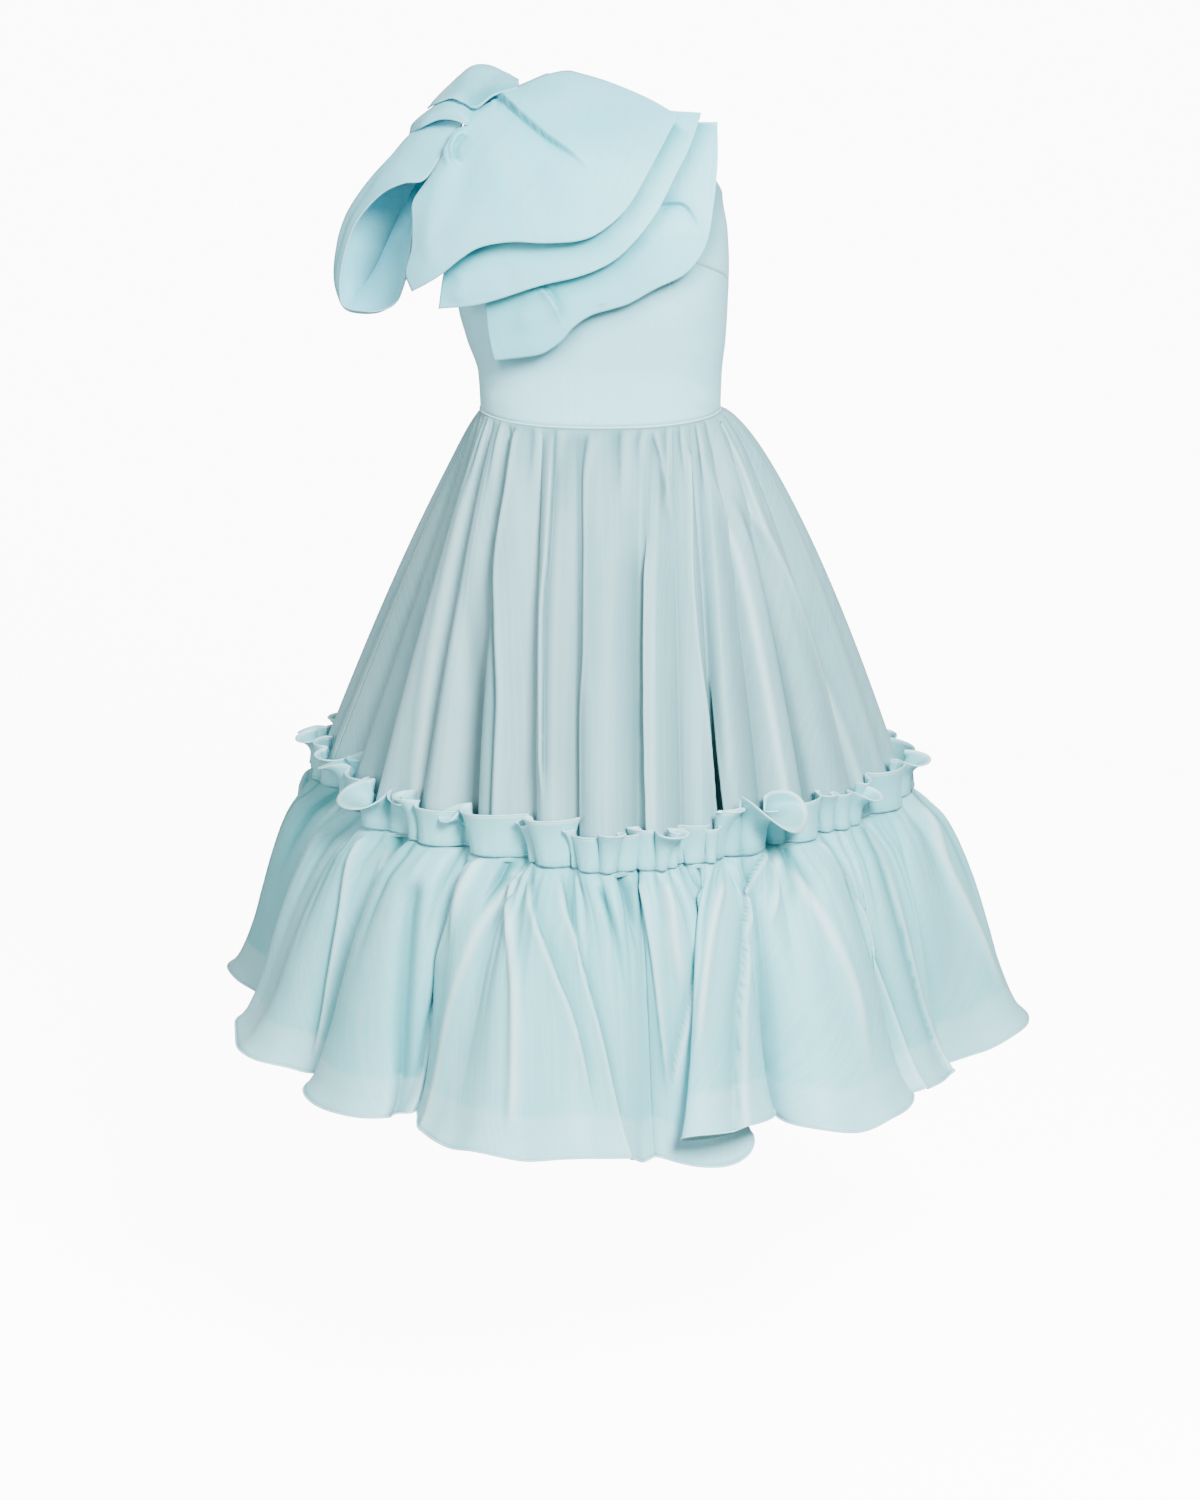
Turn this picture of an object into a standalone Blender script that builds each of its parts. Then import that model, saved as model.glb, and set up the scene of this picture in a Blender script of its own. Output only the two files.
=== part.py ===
"""One-shoulder midi gown: fitted bodice, layered bow, pleated skirt, ruffled heading and flounce.

Metres, +Z up, the wearer faces -Y and the wearer's left is +X. The origin is the middle of the
waist, where the gown is held. Tables of seams and folds are in millimetres and degrees.
Every sheet of cloth is an outer surface, worked out from the tables, with its wall inside it.
"""

import math

import bpy
import numpy as np

MM = 0.001

# Cloth walls and the space between neighbours.
WALL_BODICE = 0.0020
WALL_BOW = 0.0024
WALL_SKIRT = 0.0016
SEAM_GAP = 0.0005
SIDE_SEAM_GAP = 0.0009

# Heights of the main seams.
WAIST_DIP = 0.011
WAIST_DIP_POWER = 1.5
SEAM_Z = -0.460
FRILL_HEIGHT = 0.037
SKIRT_ABOVE_SEAM = 0.001

# Torso sections: height, half width to the right and left, depth to the front and back (mm).
TORSO = np.array(
    [
        # z, right, left, front, back
        (-15, 136, 137, 97, 88),
        (0, 136, 137, 97, 88),
        (40, 138, 138, 98, 90),
        (80, 151, 142, 106, 94),
        (120, 160, 144, 115, 98),
        (160, 160, 145, 119, 101),
        (200, 158, 143, 117, 102),
        (240, 157, 137, 110, 100),
        (390, 157, 137, 96, 96),
    ]
) * MM
TORSO_ROUND = 2.5
# The shoulder: height at the neck, fall per metre outwards, where it springs and its middle.
SHOULDER_Z = 0.371
SHOULDER_FALL = 0.42
SHOULDER_NECK_X = 0.060
SHOULDER_SPRING_Z = 0.200
SHOULDER_Y = 0.005
SHOULDER_GAP = 0.0016
# The bow lies over the chest and the arm together, which are higher, wider and flatter.
CHEST_Z = 0.384
CHEST_FALL = 0.192
CHEST_NECK_X = 0.100
ARM_REACH = 0.260

# Upper edges of the bodice: share of the half width (-1 right side, +1 left side), height (mm).
# Between the armhole and the neck they run above the ridge of the shoulder, and end on it.
FRONT_TOP = [(-1, 200), (-0.92, 205), (-0.84, 220), (-0.77, 250), (-0.69, 302), (-0.62, 345),
             (-0.50, 372), (-0.20, 374), (0.0, 356), (0.25, 327), (0.50, 290), (0.75, 256), (1, 236)]
BACK_TOP = [(-1, 200), (-0.92, 205), (-0.84, 220), (-0.77, 250), (-0.69, 302), (-0.62, 345),
            (-0.50, 372), (-0.20, 374), (0.0, 330), (0.25, 300), (0.50, 273), (0.75, 250), (1, 236)]
SIDE_SEAM_SHARE = 0.004
# Places across the front up to the bust piece and under it, and across the back.
FRONT_COLUMNS = (18, 10)
BACK_COLUMNS = 21
# Rows above and below the bust level, closer together towards the rounded top of the shoulder.
FRONT_ROWS = (5, 3)
CUP_ROWS = (4,)
BACK_ROWS = (4, 3)
TOP_ROW_CROWDING = 1.7
CUP_STEP = 0.012
BUST_LEVEL = 0.120
CUP_SEAM = [(0.30, 205), (0.45, 172), (0.62, 161), (0.80, 151), (1, 134)]

# Places along a curve that is read evenly.
CURVE_SAMPLES = 400

# Bow leaves: x, z (mm) and how far the edge stands off the body (mm), and columns and rows.
LEAF_TOP = {
    "upper": [(-146, 308, 8), (-136, 330, 4), (-117, 344, 3), (-90, 356, 3), (-64, 369, 4),
              (-38, 375, 4), (-20, 372, 4), (11, 363, 5), (49, 348, 9), (77, 333, 13), (84, 326, 14)],
    "lower": [(-206, 140, 24), (-190, 149, 29), (-173, 160, 33), (-151, 178, 37), (-129, 191, 40),
              (-96, 197, 42), (-59, 196, 43), (-21, 199, 43), (5, 211, 41), (32, 236, 36),
              (59, 282, 27), (76, 313, 19), (83, 323, 15)],
    "right": [(-146, 308, 8), (-166, 291, 12), (-185, 263, 14), (-204, 237, 15), (-205, 214, 16),
              (-206, 186, 18), (-213, 160, 21), (-206, 140, 24)],
    "puff": 12,
    "grid": (17, 7),
}
LEAF_SECOND = {
    "upper": [(-132, 300, 5), (-100, 336, 4), (-60, 354, 5), (-20, 354, 5.2), (20, 346, 5.6),
              (55, 337, 5), (78, 333, 6), (95, 332, 7), (110, 331, 8)],
    "lower": [(-177, 121, 13), (-130, 128, 22), (-66, 149, 28), (-21, 160, 29), (13, 175, 28),
              (39, 198, 26), (62, 228, 23), (81, 264, 18), (97, 295, 13), (109, 327, 9)],
    "right": [(-132, 300, 5), (-146, 250, 6), (-160, 200, 7), (-171, 160, 9), (-177, 121, 13)],
    "puff": 7,
    "grid": (15, 6),
}
LEAF_THIRD = {
    "upper": [(-122, 286, 3.6), (-80, 314, 1), (-40, 324, -0.5), (0, 324, -0.5), (40, 320, 1),
              (75, 321, 4), (100, 321, 4.7), (115, 321, 5.5), (128, 321, 5)],
    "lower": [(-117, 64, 8), (-88, 68, 13), (-64, 73, 17), (-43, 87, 19), (-29, 103, 19),
              (-10, 116, 17), (13, 123, 16), (32, 129, 15), (61, 145, 13), (89, 158, 11),
              (105, 173, 9), (117, 196, 7), (124, 237, 6), (128, 280, 5), (128, 315, 5)],
    "right": [(-122, 286, 3.6), (-125, 250, 4), (-128, 200, 4), (-126, 140, 5), (-123, 95, 6),
              (-117, 64, 8)],
    "puff": 3,
    "grid": (18, 6),
}

# Columns and rows of the bow's lofted pieces.
LOOP_GRID = (26, 6)
ROLL_GRID = (12, 5)
CROWN_GRID = (12, 7)
# Bow loop: closed sections from the front mouth to the slit behind the arm, x, y, z (mm).
LOOP_SECTIONS = [
    [(-150, -74, 313), (-171, -84, 288), (-192, -88, 260), (-214, -80, 256), (-237, -68, 246),
     (-258, -56, 227), (-274, -46, 204), (-286, -38, 170), (-291, -32, 138), (-287, -33, 117),
     (-264, -44, 112), (-241, -56, 114), (-222, -66, 128), (-211, -76, 166), (-202, -80, 215),
     (-180, -76, 252)],
    [(-152, -56, 322), (-177, -56, 314), (-200, -46, 306), (-222, -44, 283), (-246, -40, 259),
     (-267, -36, 230), (-282, -30, 203), (-293, -24, 168), (-296, -20, 136), (-286, -22, 113),
     (-262, -30, 109), (-240, -38, 116), (-221, -46, 138), (-208, -52, 176), (-196, -54, 220),
     (-176, -54, 266)],
    [(-158, -18, 328), (-182, -18, 322), (-206, -13, 306), (-229, -10, 281), (-252, -6, 256),
     (-272, -2, 231), (-286, 0, 203), (-294, 0, 170), (-295, 0, 140), (-285, -4, 120),
     (-264, -10, 124), (-244, -16, 142), (-226, -22, 166), (-210, -24, 196), (-196, -22, 232),
     (-178, -18, 276)],
    [(-161, 32, 318), (-172, 40, 304), (-181, 46, 286), (-190, 50, 264), (-202, 52, 240),
     (-215, 52, 215), (-229, 50, 190), (-244, 46, 166), (-259, 40, 145), (-266, 30, 134),
     (-258, 22, 146), (-246, 20, 168), (-234, 20, 194), (-220, 20, 222), (-204, 18, 250),
     (-176, 10, 286)],
]
# Knot roll: sections across the roll, from under the crown to its lower edge on the loop.
ROLL_SECTIONS = [
    [(-136, -68, 340), (-149, -56, 344), (-164, -44, 347), (-178, -29, 341), (-182, -4, 333),
     (-178, 24, 328), (-162, 44, 321)],
    [(-141, -88, 324), (-154, -79, 332), (-172, -66, 334), (-193, -48, 326), (-207, -12, 318),
     (-202, 30, 313), (-176, 62, 306)],
    [(-145, -90, 318), (-159, -81, 323), (-177, -68, 323), (-198, -50, 314), (-212, -14, 306),
     (-207, 32, 301), (-180, 64, 297)],
]
# Crown fold: sections from the front edge over the top of the shoulder to the back.
CROWN_SECTIONS = [
    [(-90, -64.6, 357.8), (-116, -78, 350), (-135, -84, 337), (-148, -74, 342), (-163, -62, 347),
     (-182, -44, 340), (-192, -12, 334)],
    [(-89, -40, 364), (-110, -42, 366), (-130, -40, 364), (-148, -34, 361), (-163, -26, 355),
     (-179, -16, 347), (-189, 0, 336)],
    [(-90, 4, 364), (-104, 4, 372), (-124, 6, 380), (-142, 8, 379), (-159, 10, 366),
     (-173, 12, 351), (-184, 16, 337)],
    [(-91, 56, 352), (-108, 62, 358), (-126, 64, 360), (-143, 66, 357), (-157, 64, 348),
     (-168, 58, 338), (-176, 50, 330)],
]

# Skirt at the gathering seam: bearing from the front (degrees, + to the left side), radius (mm).
SEAM_RADIUS = [(-180, 345), (-150, 375), (-128, 402), (-112, 380), (-97, 305), (-80, 292),
               (-58, 284), (-36, 272), (-18, 284), (4, 320), (24, 298), (45, 290), (65, 304),
               (80, 332), (96, 368), (120, 382), (150, 368), (180, 345)]
# Skirt folds: bearing where each begins at the waist and at the seam (degrees), depth at the
# seam (mm), how far its crest leans back over its own start (share of its width), and how late
# it flares (power of its drop: the lower, the more it stands out near the waist).
SKIRT_FOLDS = [
    # waist, seam, depth, lean, flare
    (-90, -97, 40, 0.20, 1.00),
    (-74, -72, 24, 0.16, 0.88),
    (-58, -53, 24, 0.10, 0.76),
    (-44, -33, 30, 0.30, 0.68),
    (-24, -15, 18, 0.24, 0.66),
    (-8, -5, 17, 0.20, 0.66),
    (17, 8, 24, 0.20, 0.66),
    (32, 18, 12, 0.00, 0.66),
    (44, 28, 32, 0.28, 0.66),
    (56, 43, 18, 0.00, 0.67),
    (68, 58, 18, 0.06, 0.68),
    (80, 75, 18, 0.00, 0.68),
    (90, 91, 22, 0.00, 0.68),
    (106, 108, 24, 0.16, 0.67),
    (120, 124, 26, 0.20, 0.66),
    (134, 139, 28, 0.16, 0.66),
    (149, 154, 24, 0.20, 0.66),
    (165, 168, 26, 0.16, 0.66),
    (180, 182, 26, -0.16, 0.66),
    (195, 196, 24, -0.16, 0.68),
    (210, 210, 28, -0.20, 0.70),
    (224, 223, 26, -0.16, 0.74),
    (238, 235, 24, -0.10, 0.82),
    (254, 248, 32, 0.00, 0.92),
]
FOLD_WIDTH_POWER = 1.15
WAIST_PLEAT_DEPTH = 0.005
PLEAT_RUN = 0.03
FOLD_GROWTH = 0.65
# A leaning crest is part of the way over at the waist, fully over in the middle, less at the seam.
LEAN_START = 0.15
LEAN_GROWTH = 0.60
SKIRT_ROWS = (0.0, 0.035, 0.13, 0.35, 0.66, 1.0)
COLUMNS_PER_FOLD = 8
# The side seams run down the crests of two folds.
RIGHT_SEAM_COLUMN = -4
LEFT_SEAM_COLUMN = 100

# Gathers of the heading and the flounce, one for each four columns.
GATHER_COLUMNS = 4
GATHER_DEPTH = 0.0040
GATHER_FADE = 0.30
GATHER_FADE_POWER = 2
FRILL_CLEARANCE = 0.0020
FRILL_LIFT = 0.0006
RUFFLE_DEPTHS = (0.017, 0.007, 0.021, 0.005, 0.012, 0.020, 0.006, 0.015)
FRILL_ROWS = (0.0, 0.5, 1.0)

# Flounce hem. Each lobe has its own columns, the bearing where it begins (degrees), the radius
# of its crest and the depth of the fold before it (mm), how far its crest leans back and how
# far its sides spread over the folds beside it (degrees), and the height of its hem (mm).
HEM_FIRST_COLUMN = -9
HEM_LOBES = [
    # columns, bearing, radius, depth, lean, spread, height
    (10, -122, 499, 70, 3, 0, -712),
    (14, -97, 431, 60, -2, 2, -731),
    (10, -62, 409, 60, 0, 3, -743),
    (24, -35, 440, 74, -2, 4, -742),
    (8, 9, 376, 30, -3, 2, -780),
    (10, 27, 420, 40, 13, 6, -722),
    (16, 31, 450, 90, 0, 5, -741),
    (8, 55, 432, 42, -2, 2, -738),
    (18, 68, 512, 56, -3, 2, -728),
    (11, 112, 480, 56, 0, 2, -726),
    (10, 131, 470, 60, 4, 3, -730),
    (11, 149, 474, 52, 0, 2, -733),
    (10, 167, 456, 66, -4, 3, -735),
    (11, 184, 462, 54, 3, 2, -735),
    (10, 203, 470, 62, -3, 3, -731),
    (11, 220, 492, 60, -3, 2, -720),
]
# A lobe's own radius and height count fully on its crest and half beside its folds.
LOBE_SHARE_MEAN = 0.75
LOBE_SHARE_SWING = 0.25
FLOUNCE_ROWS = (0.0, 0.07, 0.20, 0.45, 0.75, 1.0)
# Flounce profile: share of its drop, share of its flare.
FLOUNCE_FLARE = [(0, 0), (0.07, 0.16), (0.13, 0.28), (0.36, 0.50), (0.61, 0.66), (0.75, 0.74),
                 (0.94, 0.90), (1, 1)]

CLOTH = {
    "bow": (0.66, 0.86, 0.89, 1.0),
    "bodice": (0.69, 0.85, 0.89, 1.0),
    "skirt": (0.58, 0.72, 0.75, 1.0),
    "flounce": (0.60, 0.79, 0.81, 1.0),
}


# ---------------------------------------------------------------- curves and tables


def table(rows, at):
    """Values of a two-column table at the places given, smooth between its rows."""
    rows = np.asarray(rows, float)
    return smooth_values(rows[:, 0], rows[:, 1], np.asarray(at, float))


def smooth_values(keys, values, at):
    """Monotone cubic interpolation of values given at rising keys."""
    step = np.diff(keys)
    slope = np.diff(values) / step
    tangent = np.zeros(len(keys))
    tangent[1:-1] = np.where(
        slope[1:] * slope[:-1] > 0,
        2 * slope[1:] * slope[:-1] / (slope[1:] + slope[:-1] + 1e-12 * np.sign(slope[1:] + 1e-30)),
        0.0,
    )
    tangent[0] = slope[0]
    tangent[-1] = slope[-1]
    at = np.clip(at, keys[0], keys[-1])
    left = np.clip(np.searchsorted(keys, at, side="right") - 1, 0, len(step) - 1)
    t = (at - keys[left]) / step[left]
    return (
        values[left] * (1 + 2 * t) * (1 - t) ** 2
        + tangent[left] * step[left] * t * (1 - t) ** 2
        + values[left + 1] * t * t * (3 - 2 * t)
        + tangent[left + 1] * step[left] * t * t * (t - 1)
    )


def wrapped_table(rows, at):
    """A two-column table over a full turn of bearings."""
    rows = np.asarray(rows, float)
    body = rows[:-1]
    wide = np.concatenate([body - (360, 0), rows, body[1:] + (360, 0)])
    _, first = np.unique(wide[:, 0], return_index=True)
    return smooth_values(wide[first, 0], wide[first, 1], np.asarray(at, float))


def curve(points, shares, closed=False):
    """Catmull-Rom curve through points, read at shares of its index length."""
    points = np.asarray(points, float)
    shares = np.asarray(shares, float)
    if closed:
        points = np.concatenate([points[-1:], points, points[:2]])
        at = shares * (len(points) - 3)
    else:
        points = np.concatenate([[2 * points[0] - points[1]], points, [2 * points[-1] - points[-2]]])
        at = shares * (len(points) - 3)
    left = np.clip(at.astype(int), 0, len(points) - 4)
    t = (at - left)[:, None]
    a, b, c, d = (points[left + k] for k in range(4))
    return 0.5 * (
        2 * b + (c - a) * t + (2 * a - 5 * b + 4 * c - d) * t**2 + (3 * b - a - 3 * c + d) * t**3
    )


def even_curve(points, count, closed=False):
    """The same curve at count places that are evenly far apart along it."""
    fine = curve(points, np.linspace(0, 1, CURVE_SAMPLES), closed)
    run = np.concatenate([[0], np.cumsum(np.linalg.norm(np.diff(fine, axis=0), axis=1))])
    at = np.linspace(0, run[-1], count + 1)[:-1] if closed else np.linspace(0, run[-1], count)
    return np.stack([np.interp(at, run, fine[:, k]) for k in range(fine.shape[1])], axis=1)


# ---------------------------------------------------------------- the body that the cloth follows


def torso_size(column, z):
    return np.interp(z, TORSO[:, 0], TORSO[:, column])


def rounding(share):
    """Superellipse: 1 in the middle, 0 where the share reaches 1."""
    return np.maximum(1 - np.abs(share) ** TORSO_ROUND, 0) ** (1 / TORSO_ROUND)


def shoulder_ridge(x):
    """Height of the shoulder seam."""
    return SHOULDER_Z - SHOULDER_FALL * np.maximum(np.abs(x) - SHOULDER_NECK_X, 0)


def closing(z, ridge):
    """How the depth closes towards a ridge above the shoulder's spring."""
    return rounding(np.clip((z - SHOULDER_SPRING_Z) / (ridge - SHOULDER_SPRING_Z), 0, 1))


def shoulder_shift(z):
    """How far the middle of the section lies behind the axis."""
    return SHOULDER_Y * np.clip((z - SHOULDER_SPRING_Z) / (SHOULDER_Z - SHOULDER_SPRING_Z), 0, 1)


def bodice_point(across, z, side):
    """Outer surface of the bodice: across from -1 (right seam) to 1 (left seam), side -1 front."""
    turn = across * math.pi / 2
    share = np.sign(turn) * np.abs(np.sin(turn)) ** (2 / TORSO_ROUND)
    half = np.where(across < 0, torso_size(1, z), torso_size(2, z))
    x = half * share
    ridge = shoulder_ridge(x)
    z = np.minimum(z, ridge)
    depth = torso_size(3 if side < 0 else 4, z)
    reach = depth * np.abs(np.cos(turn)) ** (2 / TORSO_ROUND) * closing(z, ridge)
    reach = np.where(np.abs(across) < 1, np.maximum(reach, SHOULDER_GAP / 2), reach)
    return np.stack([x, side * reach + shoulder_shift(z), z], axis=-1)


def chest_y(x, z):
    """Front of the body with its arm, that the bow leaves lie over."""
    ridge = CHEST_Z - CHEST_FALL * np.maximum(np.abs(x) - CHEST_NECK_X, 0)
    reach = torso_size(3, z) * rounding(x / ARM_REACH) * closing(z, ridge)
    return shoulder_shift(z) - reach


# ---------------------------------------------------------------- meshes


def new_mesh(name, points, loop_around, wall, finish, collection):
    """A sheet over a grid of points (rows down, columns to the left side) with its wall inside."""
    rows, columns = points.shape[:2]
    around = columns if loop_around else columns - 1
    faces = [
        (r * columns + c, (r + 1) * columns + c,
         (r + 1) * columns + (c + 1) % columns, r * columns + (c + 1) % columns)
        for r in range(rows - 1)
        for c in range(around)
    ]
    mesh = bpy.data.meshes.new(name)
    mesh.from_pydata(points.reshape(-1, 3).tolist(), [], faces)
    mesh.validate()
    mesh.shade_smooth()
    mesh.materials.append(finish)
    obj = bpy.data.objects.new(name, mesh)
    solid = obj.modifiers.new("Wall", "SOLIDIFY")
    solid.thickness = wall
    solid.offset = -1
    collection.objects.link(obj)
    return obj


def cloth_material(name, colour):
    material = bpy.data.materials.new(name)
    material.use_nodes = True
    shader = material.node_tree.nodes["Principled BSDF"]
    shader.inputs["Base Color"].default_value = colour
    shader.inputs["Roughness"].default_value = 0.55
    shader.inputs["Metallic"].default_value = 0.0
    material.diffuse_color = colour
    return material


# ---------------------------------------------------------------- bodice


def waist_z(across):
    return -WAIST_DIP * np.maximum(np.cos(across * math.pi / 2), 0) ** WAIST_DIP_POWER


def bodice_panel(side, across, levels, rows):
    """Grid of a bodice panel at places across it, down through its levels, with rows for each."""
    heights = [levels[0] + 0 * across]
    crowding = TOP_ROW_CROWDING
    for high, low, count in zip(levels, levels[1:], rows):
        heights += [high + (low - high) * (n / count) ** crowding for n in range(1, count + 1)]
        crowding = 1
    z = np.stack([height + 0 * across for height in heights])
    return bodice_point(np.broadcast_to(across, z.shape), z, side)


def build_bodice(collection, finish):
    edge = 1 - SIDE_SEAM_SHARE
    cup_start = CUP_SEAM[0][0]
    main_part = np.linspace(-edge, cup_start - CUP_STEP, FRONT_COLUMNS[0])
    under_cup = np.linspace(cup_start, edge, FRONT_COLUMNS[1])
    across = np.concatenate([main_part, under_cup])
    high = np.concatenate([table(FRONT_TOP, main_part), table(CUP_SEAM, under_cup)]) * MM
    high[len(main_part):] -= SEAM_GAP
    front = bodice_panel(-1, across, (high, BUST_LEVEL, waist_z(across)), FRONT_ROWS)
    new_mesh("bodice_front", front, False, WALL_BODICE, finish, collection)
    across = np.concatenate([[cup_start + CUP_STEP], under_cup[1:]])
    low, high = table(CUP_SEAM, across) * MM, table(FRONT_TOP, across) * MM
    cup = bodice_panel(-1, across, (high, low), CUP_ROWS)
    new_mesh("bodice_cup_left", cup, False, WALL_BODICE, finish, collection)
    across = np.linspace(-edge, edge, BACK_COLUMNS)
    high = table(BACK_TOP, across) * MM
    back = bodice_panel(1, across, (high, BUST_LEVEL, 0), BACK_ROWS)[:, ::-1]
    new_mesh("bodice_back", back, False, WALL_BODICE, finish, collection)


# ---------------------------------------------------------------- bow


def patch(upper, lower, right, left, columns, rows):
    """Coons patch between four edges, each read evenly along its length."""
    u = np.linspace(0, 1, columns)[None, :, None]
    v = np.linspace(0, 1, rows)[:, None, None]
    a = even_curve(upper, columns)[None]
    b = even_curve(lower, columns)[None]
    c = even_curve(right, rows)[:, None]
    d = even_curve(left, rows)[:, None]
    corners = (
        (1 - v) * ((1 - u) * a[:, :1] + u * a[:, -1:]) + v * ((1 - u) * b[:, :1] + u * b[:, -1:])
    )
    return (1 - v) * a + v * b + (1 - u) * c + u * d - corners


def leaf(edges):
    """A bow leaf: its outline in front view, laid over the body at its own stand-off."""
    columns, rows = edges["grid"]
    left = [edges["upper"][-1], edges["lower"][-1]]
    grid = patch(edges["upper"], edges["lower"], edges["right"], left, columns, rows)
    u = np.linspace(0, 1, columns)[None, :]
    v = np.linspace(0, 1, rows)[:, None]
    stand = grid[..., 2] + edges["puff"] * np.sin(math.pi * u) * np.sin(math.pi * v)
    x = grid[..., 0] * MM
    z = grid[..., 1] * MM
    return np.stack([x, chest_y(x, z) - stand * MM, z], axis=-1)


def loft(sections, columns, rows, closed=False):
    """Smooth surface through sections that have the same number of points."""
    rings = np.stack([even_curve(section, columns, closed) for section in sections])
    lines = [curve(rings[:, c], np.linspace(0, 1, rows)) for c in range(rings.shape[1])]
    return np.stack(lines, axis=1) * MM


def build_bow(collection, finish):
    leaves = (
        ("bow_leaf_top", LEAF_TOP),
        ("bow_leaf_second", LEAF_SECOND),
        ("bow_leaf_third", LEAF_THIRD),
    )
    for name, edges in leaves:
        new_mesh(name, leaf(edges), False, WALL_BOW, finish, collection)
    loop = loft(LOOP_SECTIONS, *LOOP_GRID, closed=True)
    new_mesh("bow_loop", loop, True, WALL_BOW, finish, collection)
    roll = loft(ROLL_SECTIONS, *ROLL_GRID)[:, ::-1]
    new_mesh("bow_knot_roll", roll, False, WALL_BOW, finish, collection)
    crown = loft(CROWN_SECTIONS, *CROWN_GRID)[::-1, ::-1]
    new_mesh("bow_crown", crown, False, WALL_BOW, finish, collection)


# ---------------------------------------------------------------- skirt


def fold_wave(share):
    """Cross form of a fold: 0 in its troughs, 1 on its broad crest."""
    return np.sin(math.pi * share) ** FOLD_WIDTH_POWER


def fold_grid(column):
    """Fold number and share across the fold, for skirt columns (which may be fractions)."""
    fold = np.floor(column / COLUMNS_PER_FOLD).astype(int) % len(SKIRT_FOLDS)
    return fold, (column / COLUMNS_PER_FOLD) % 1.0


def skirt_ring(column, drop):
    """Outer surface of the skirt at columns, at a share of its drop (0 waist, 1 seam)."""
    rows = np.array(SKIRT_FOLDS, float)
    after = np.roll(rows, -1, axis=0)
    after[-1, :2] += 360
    fold, share = fold_grid(column)
    wave = fold_wave(share)
    lean = math.sin(math.pi * (LEAN_START + LEAN_GROWTH * drop))
    shift = share - rows[fold, 3] * wave * lean
    waist_turn = rows[fold, 0] + (after[fold, 0] - rows[fold, 0]) * shift
    seam_turn = rows[fold, 1] + (after[fold, 1] - rows[fold, 1]) * shift
    waist = waist_ring(waist_turn)
    radius = wrapped_table(SEAM_RADIUS, seam_turn) * MM
    turn = np.radians(seam_turn)
    seam = np.stack([radius * np.sin(turn), -radius * np.cos(turn), np.full_like(turn, SEAM_Z)], axis=-1)
    near = np.where(share < 0.5, rows[fold - 1, 4], after[fold, 4])
    power = near + (rows[fold, 4] - near) * (1 - np.abs(share - 0.5))
    point = waist + (seam - waist) * (drop**power)[:, None]
    point[..., 2] = waist[..., 2] + (SEAM_Z - waist[..., 2]) * drop
    pleat = WAIST_PLEAT_DEPTH * min(1.0, drop / PLEAT_RUN) * (1 - drop)
    depth = pleat + rows[fold, 2] * MM * drop**FOLD_GROWTH
    side = np.where(share < 0.5, rows[fold - 1, 2], after[fold, 2])
    level = (rows[fold, 2] + (side - rows[fold, 2]) * np.abs(share - 0.5)) / rows[fold, 2]
    inward = depth * level * (1 - wave)
    facing = np.hypot(point[..., 0], point[..., 1])
    point[..., 0] -= inward * point[..., 0] / facing
    point[..., 1] -= inward * point[..., 1] / facing
    return point


def waist_ring(bearing):
    """Outer edge of the waist seam at bearings from the front."""
    turn = np.radians((bearing + 180) % 360 - 180)
    front = np.abs(turn) <= math.pi / 2
    across = np.where(front, turn, np.sign(turn) * math.pi - turn) / (math.pi / 2)
    ring = np.where(
        front[..., None],
        bodice_point(across, waist_z(across), -1),
        bodice_point(across, np.zeros_like(across), 1),
    )
    ring[..., 2] -= SEAM_GAP
    return ring


def plan_normals(ring):
    """Outward directions in plan at the points of a closed ring."""
    along = np.roll(ring, -1, axis=0)[:, :2] - np.roll(ring, 1, axis=0)[:, :2]
    along /= np.linalg.norm(along, axis=1)[:, None]
    return np.stack([along[:, 1], -along[:, 0], np.zeros(len(ring))], axis=1)


def ring_columns():
    """Column numbers once round the gown, from the right side seam."""
    count = len(SKIRT_FOLDS) * COLUMNS_PER_FOLD
    return np.arange(count, dtype=float) + RIGHT_SEAM_COLUMN


def panels(grid):
    """Front and back parts of a closed grid, parted at the side seams by a seam gap."""
    whole = np.concatenate([grid, grid[:, :1]], axis=1)
    split = LEFT_SEAM_COLUMN - RIGHT_SEAM_COLUMN
    front = whole[:, : split + 1].copy()
    back = whole[:, split:].copy()
    for panel, first, second in ((front, 0, 1), (front, -1, -2), (back, 0, 1), (back, -1, -2)):
        inward = panel[:, second] - panel[:, first]
        length = np.linalg.norm(inward, axis=1)[:, None]
        panel[:, first] = panel[:, first] + inward / length * SIDE_SEAM_GAP / 2
    return front, back


def build_panels(name, grid, finish, collection):
    for part, panel in zip(("front", "back"), panels(grid)):
        new_mesh(name + "_" + part, panel, False, WALL_SKIRT, finish, collection)


def build_skirt(collection, finish):
    last = 1 - SKIRT_ABOVE_SEAM / -SEAM_Z
    grid = np.stack([skirt_ring(ring_columns(), drop * last) for drop in SKIRT_ROWS])
    build_panels("skirt", grid, finish, collection)


# ---------------------------------------------------------------- heading frill and flounce


def gather_wave(column):
    """Rise of the gathers above the seam line: 0 between gathers, 1 on top of each."""
    return (1 - np.cos(2 * math.pi * column / GATHER_COLUMNS)) / 2


def seam_ring(columns, drop=1.0):
    """Skirt surface that the heading and the flounce are sewn on, and its outward directions."""
    ring = skirt_ring(columns, drop)
    return ring, plan_normals(ring)


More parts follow.
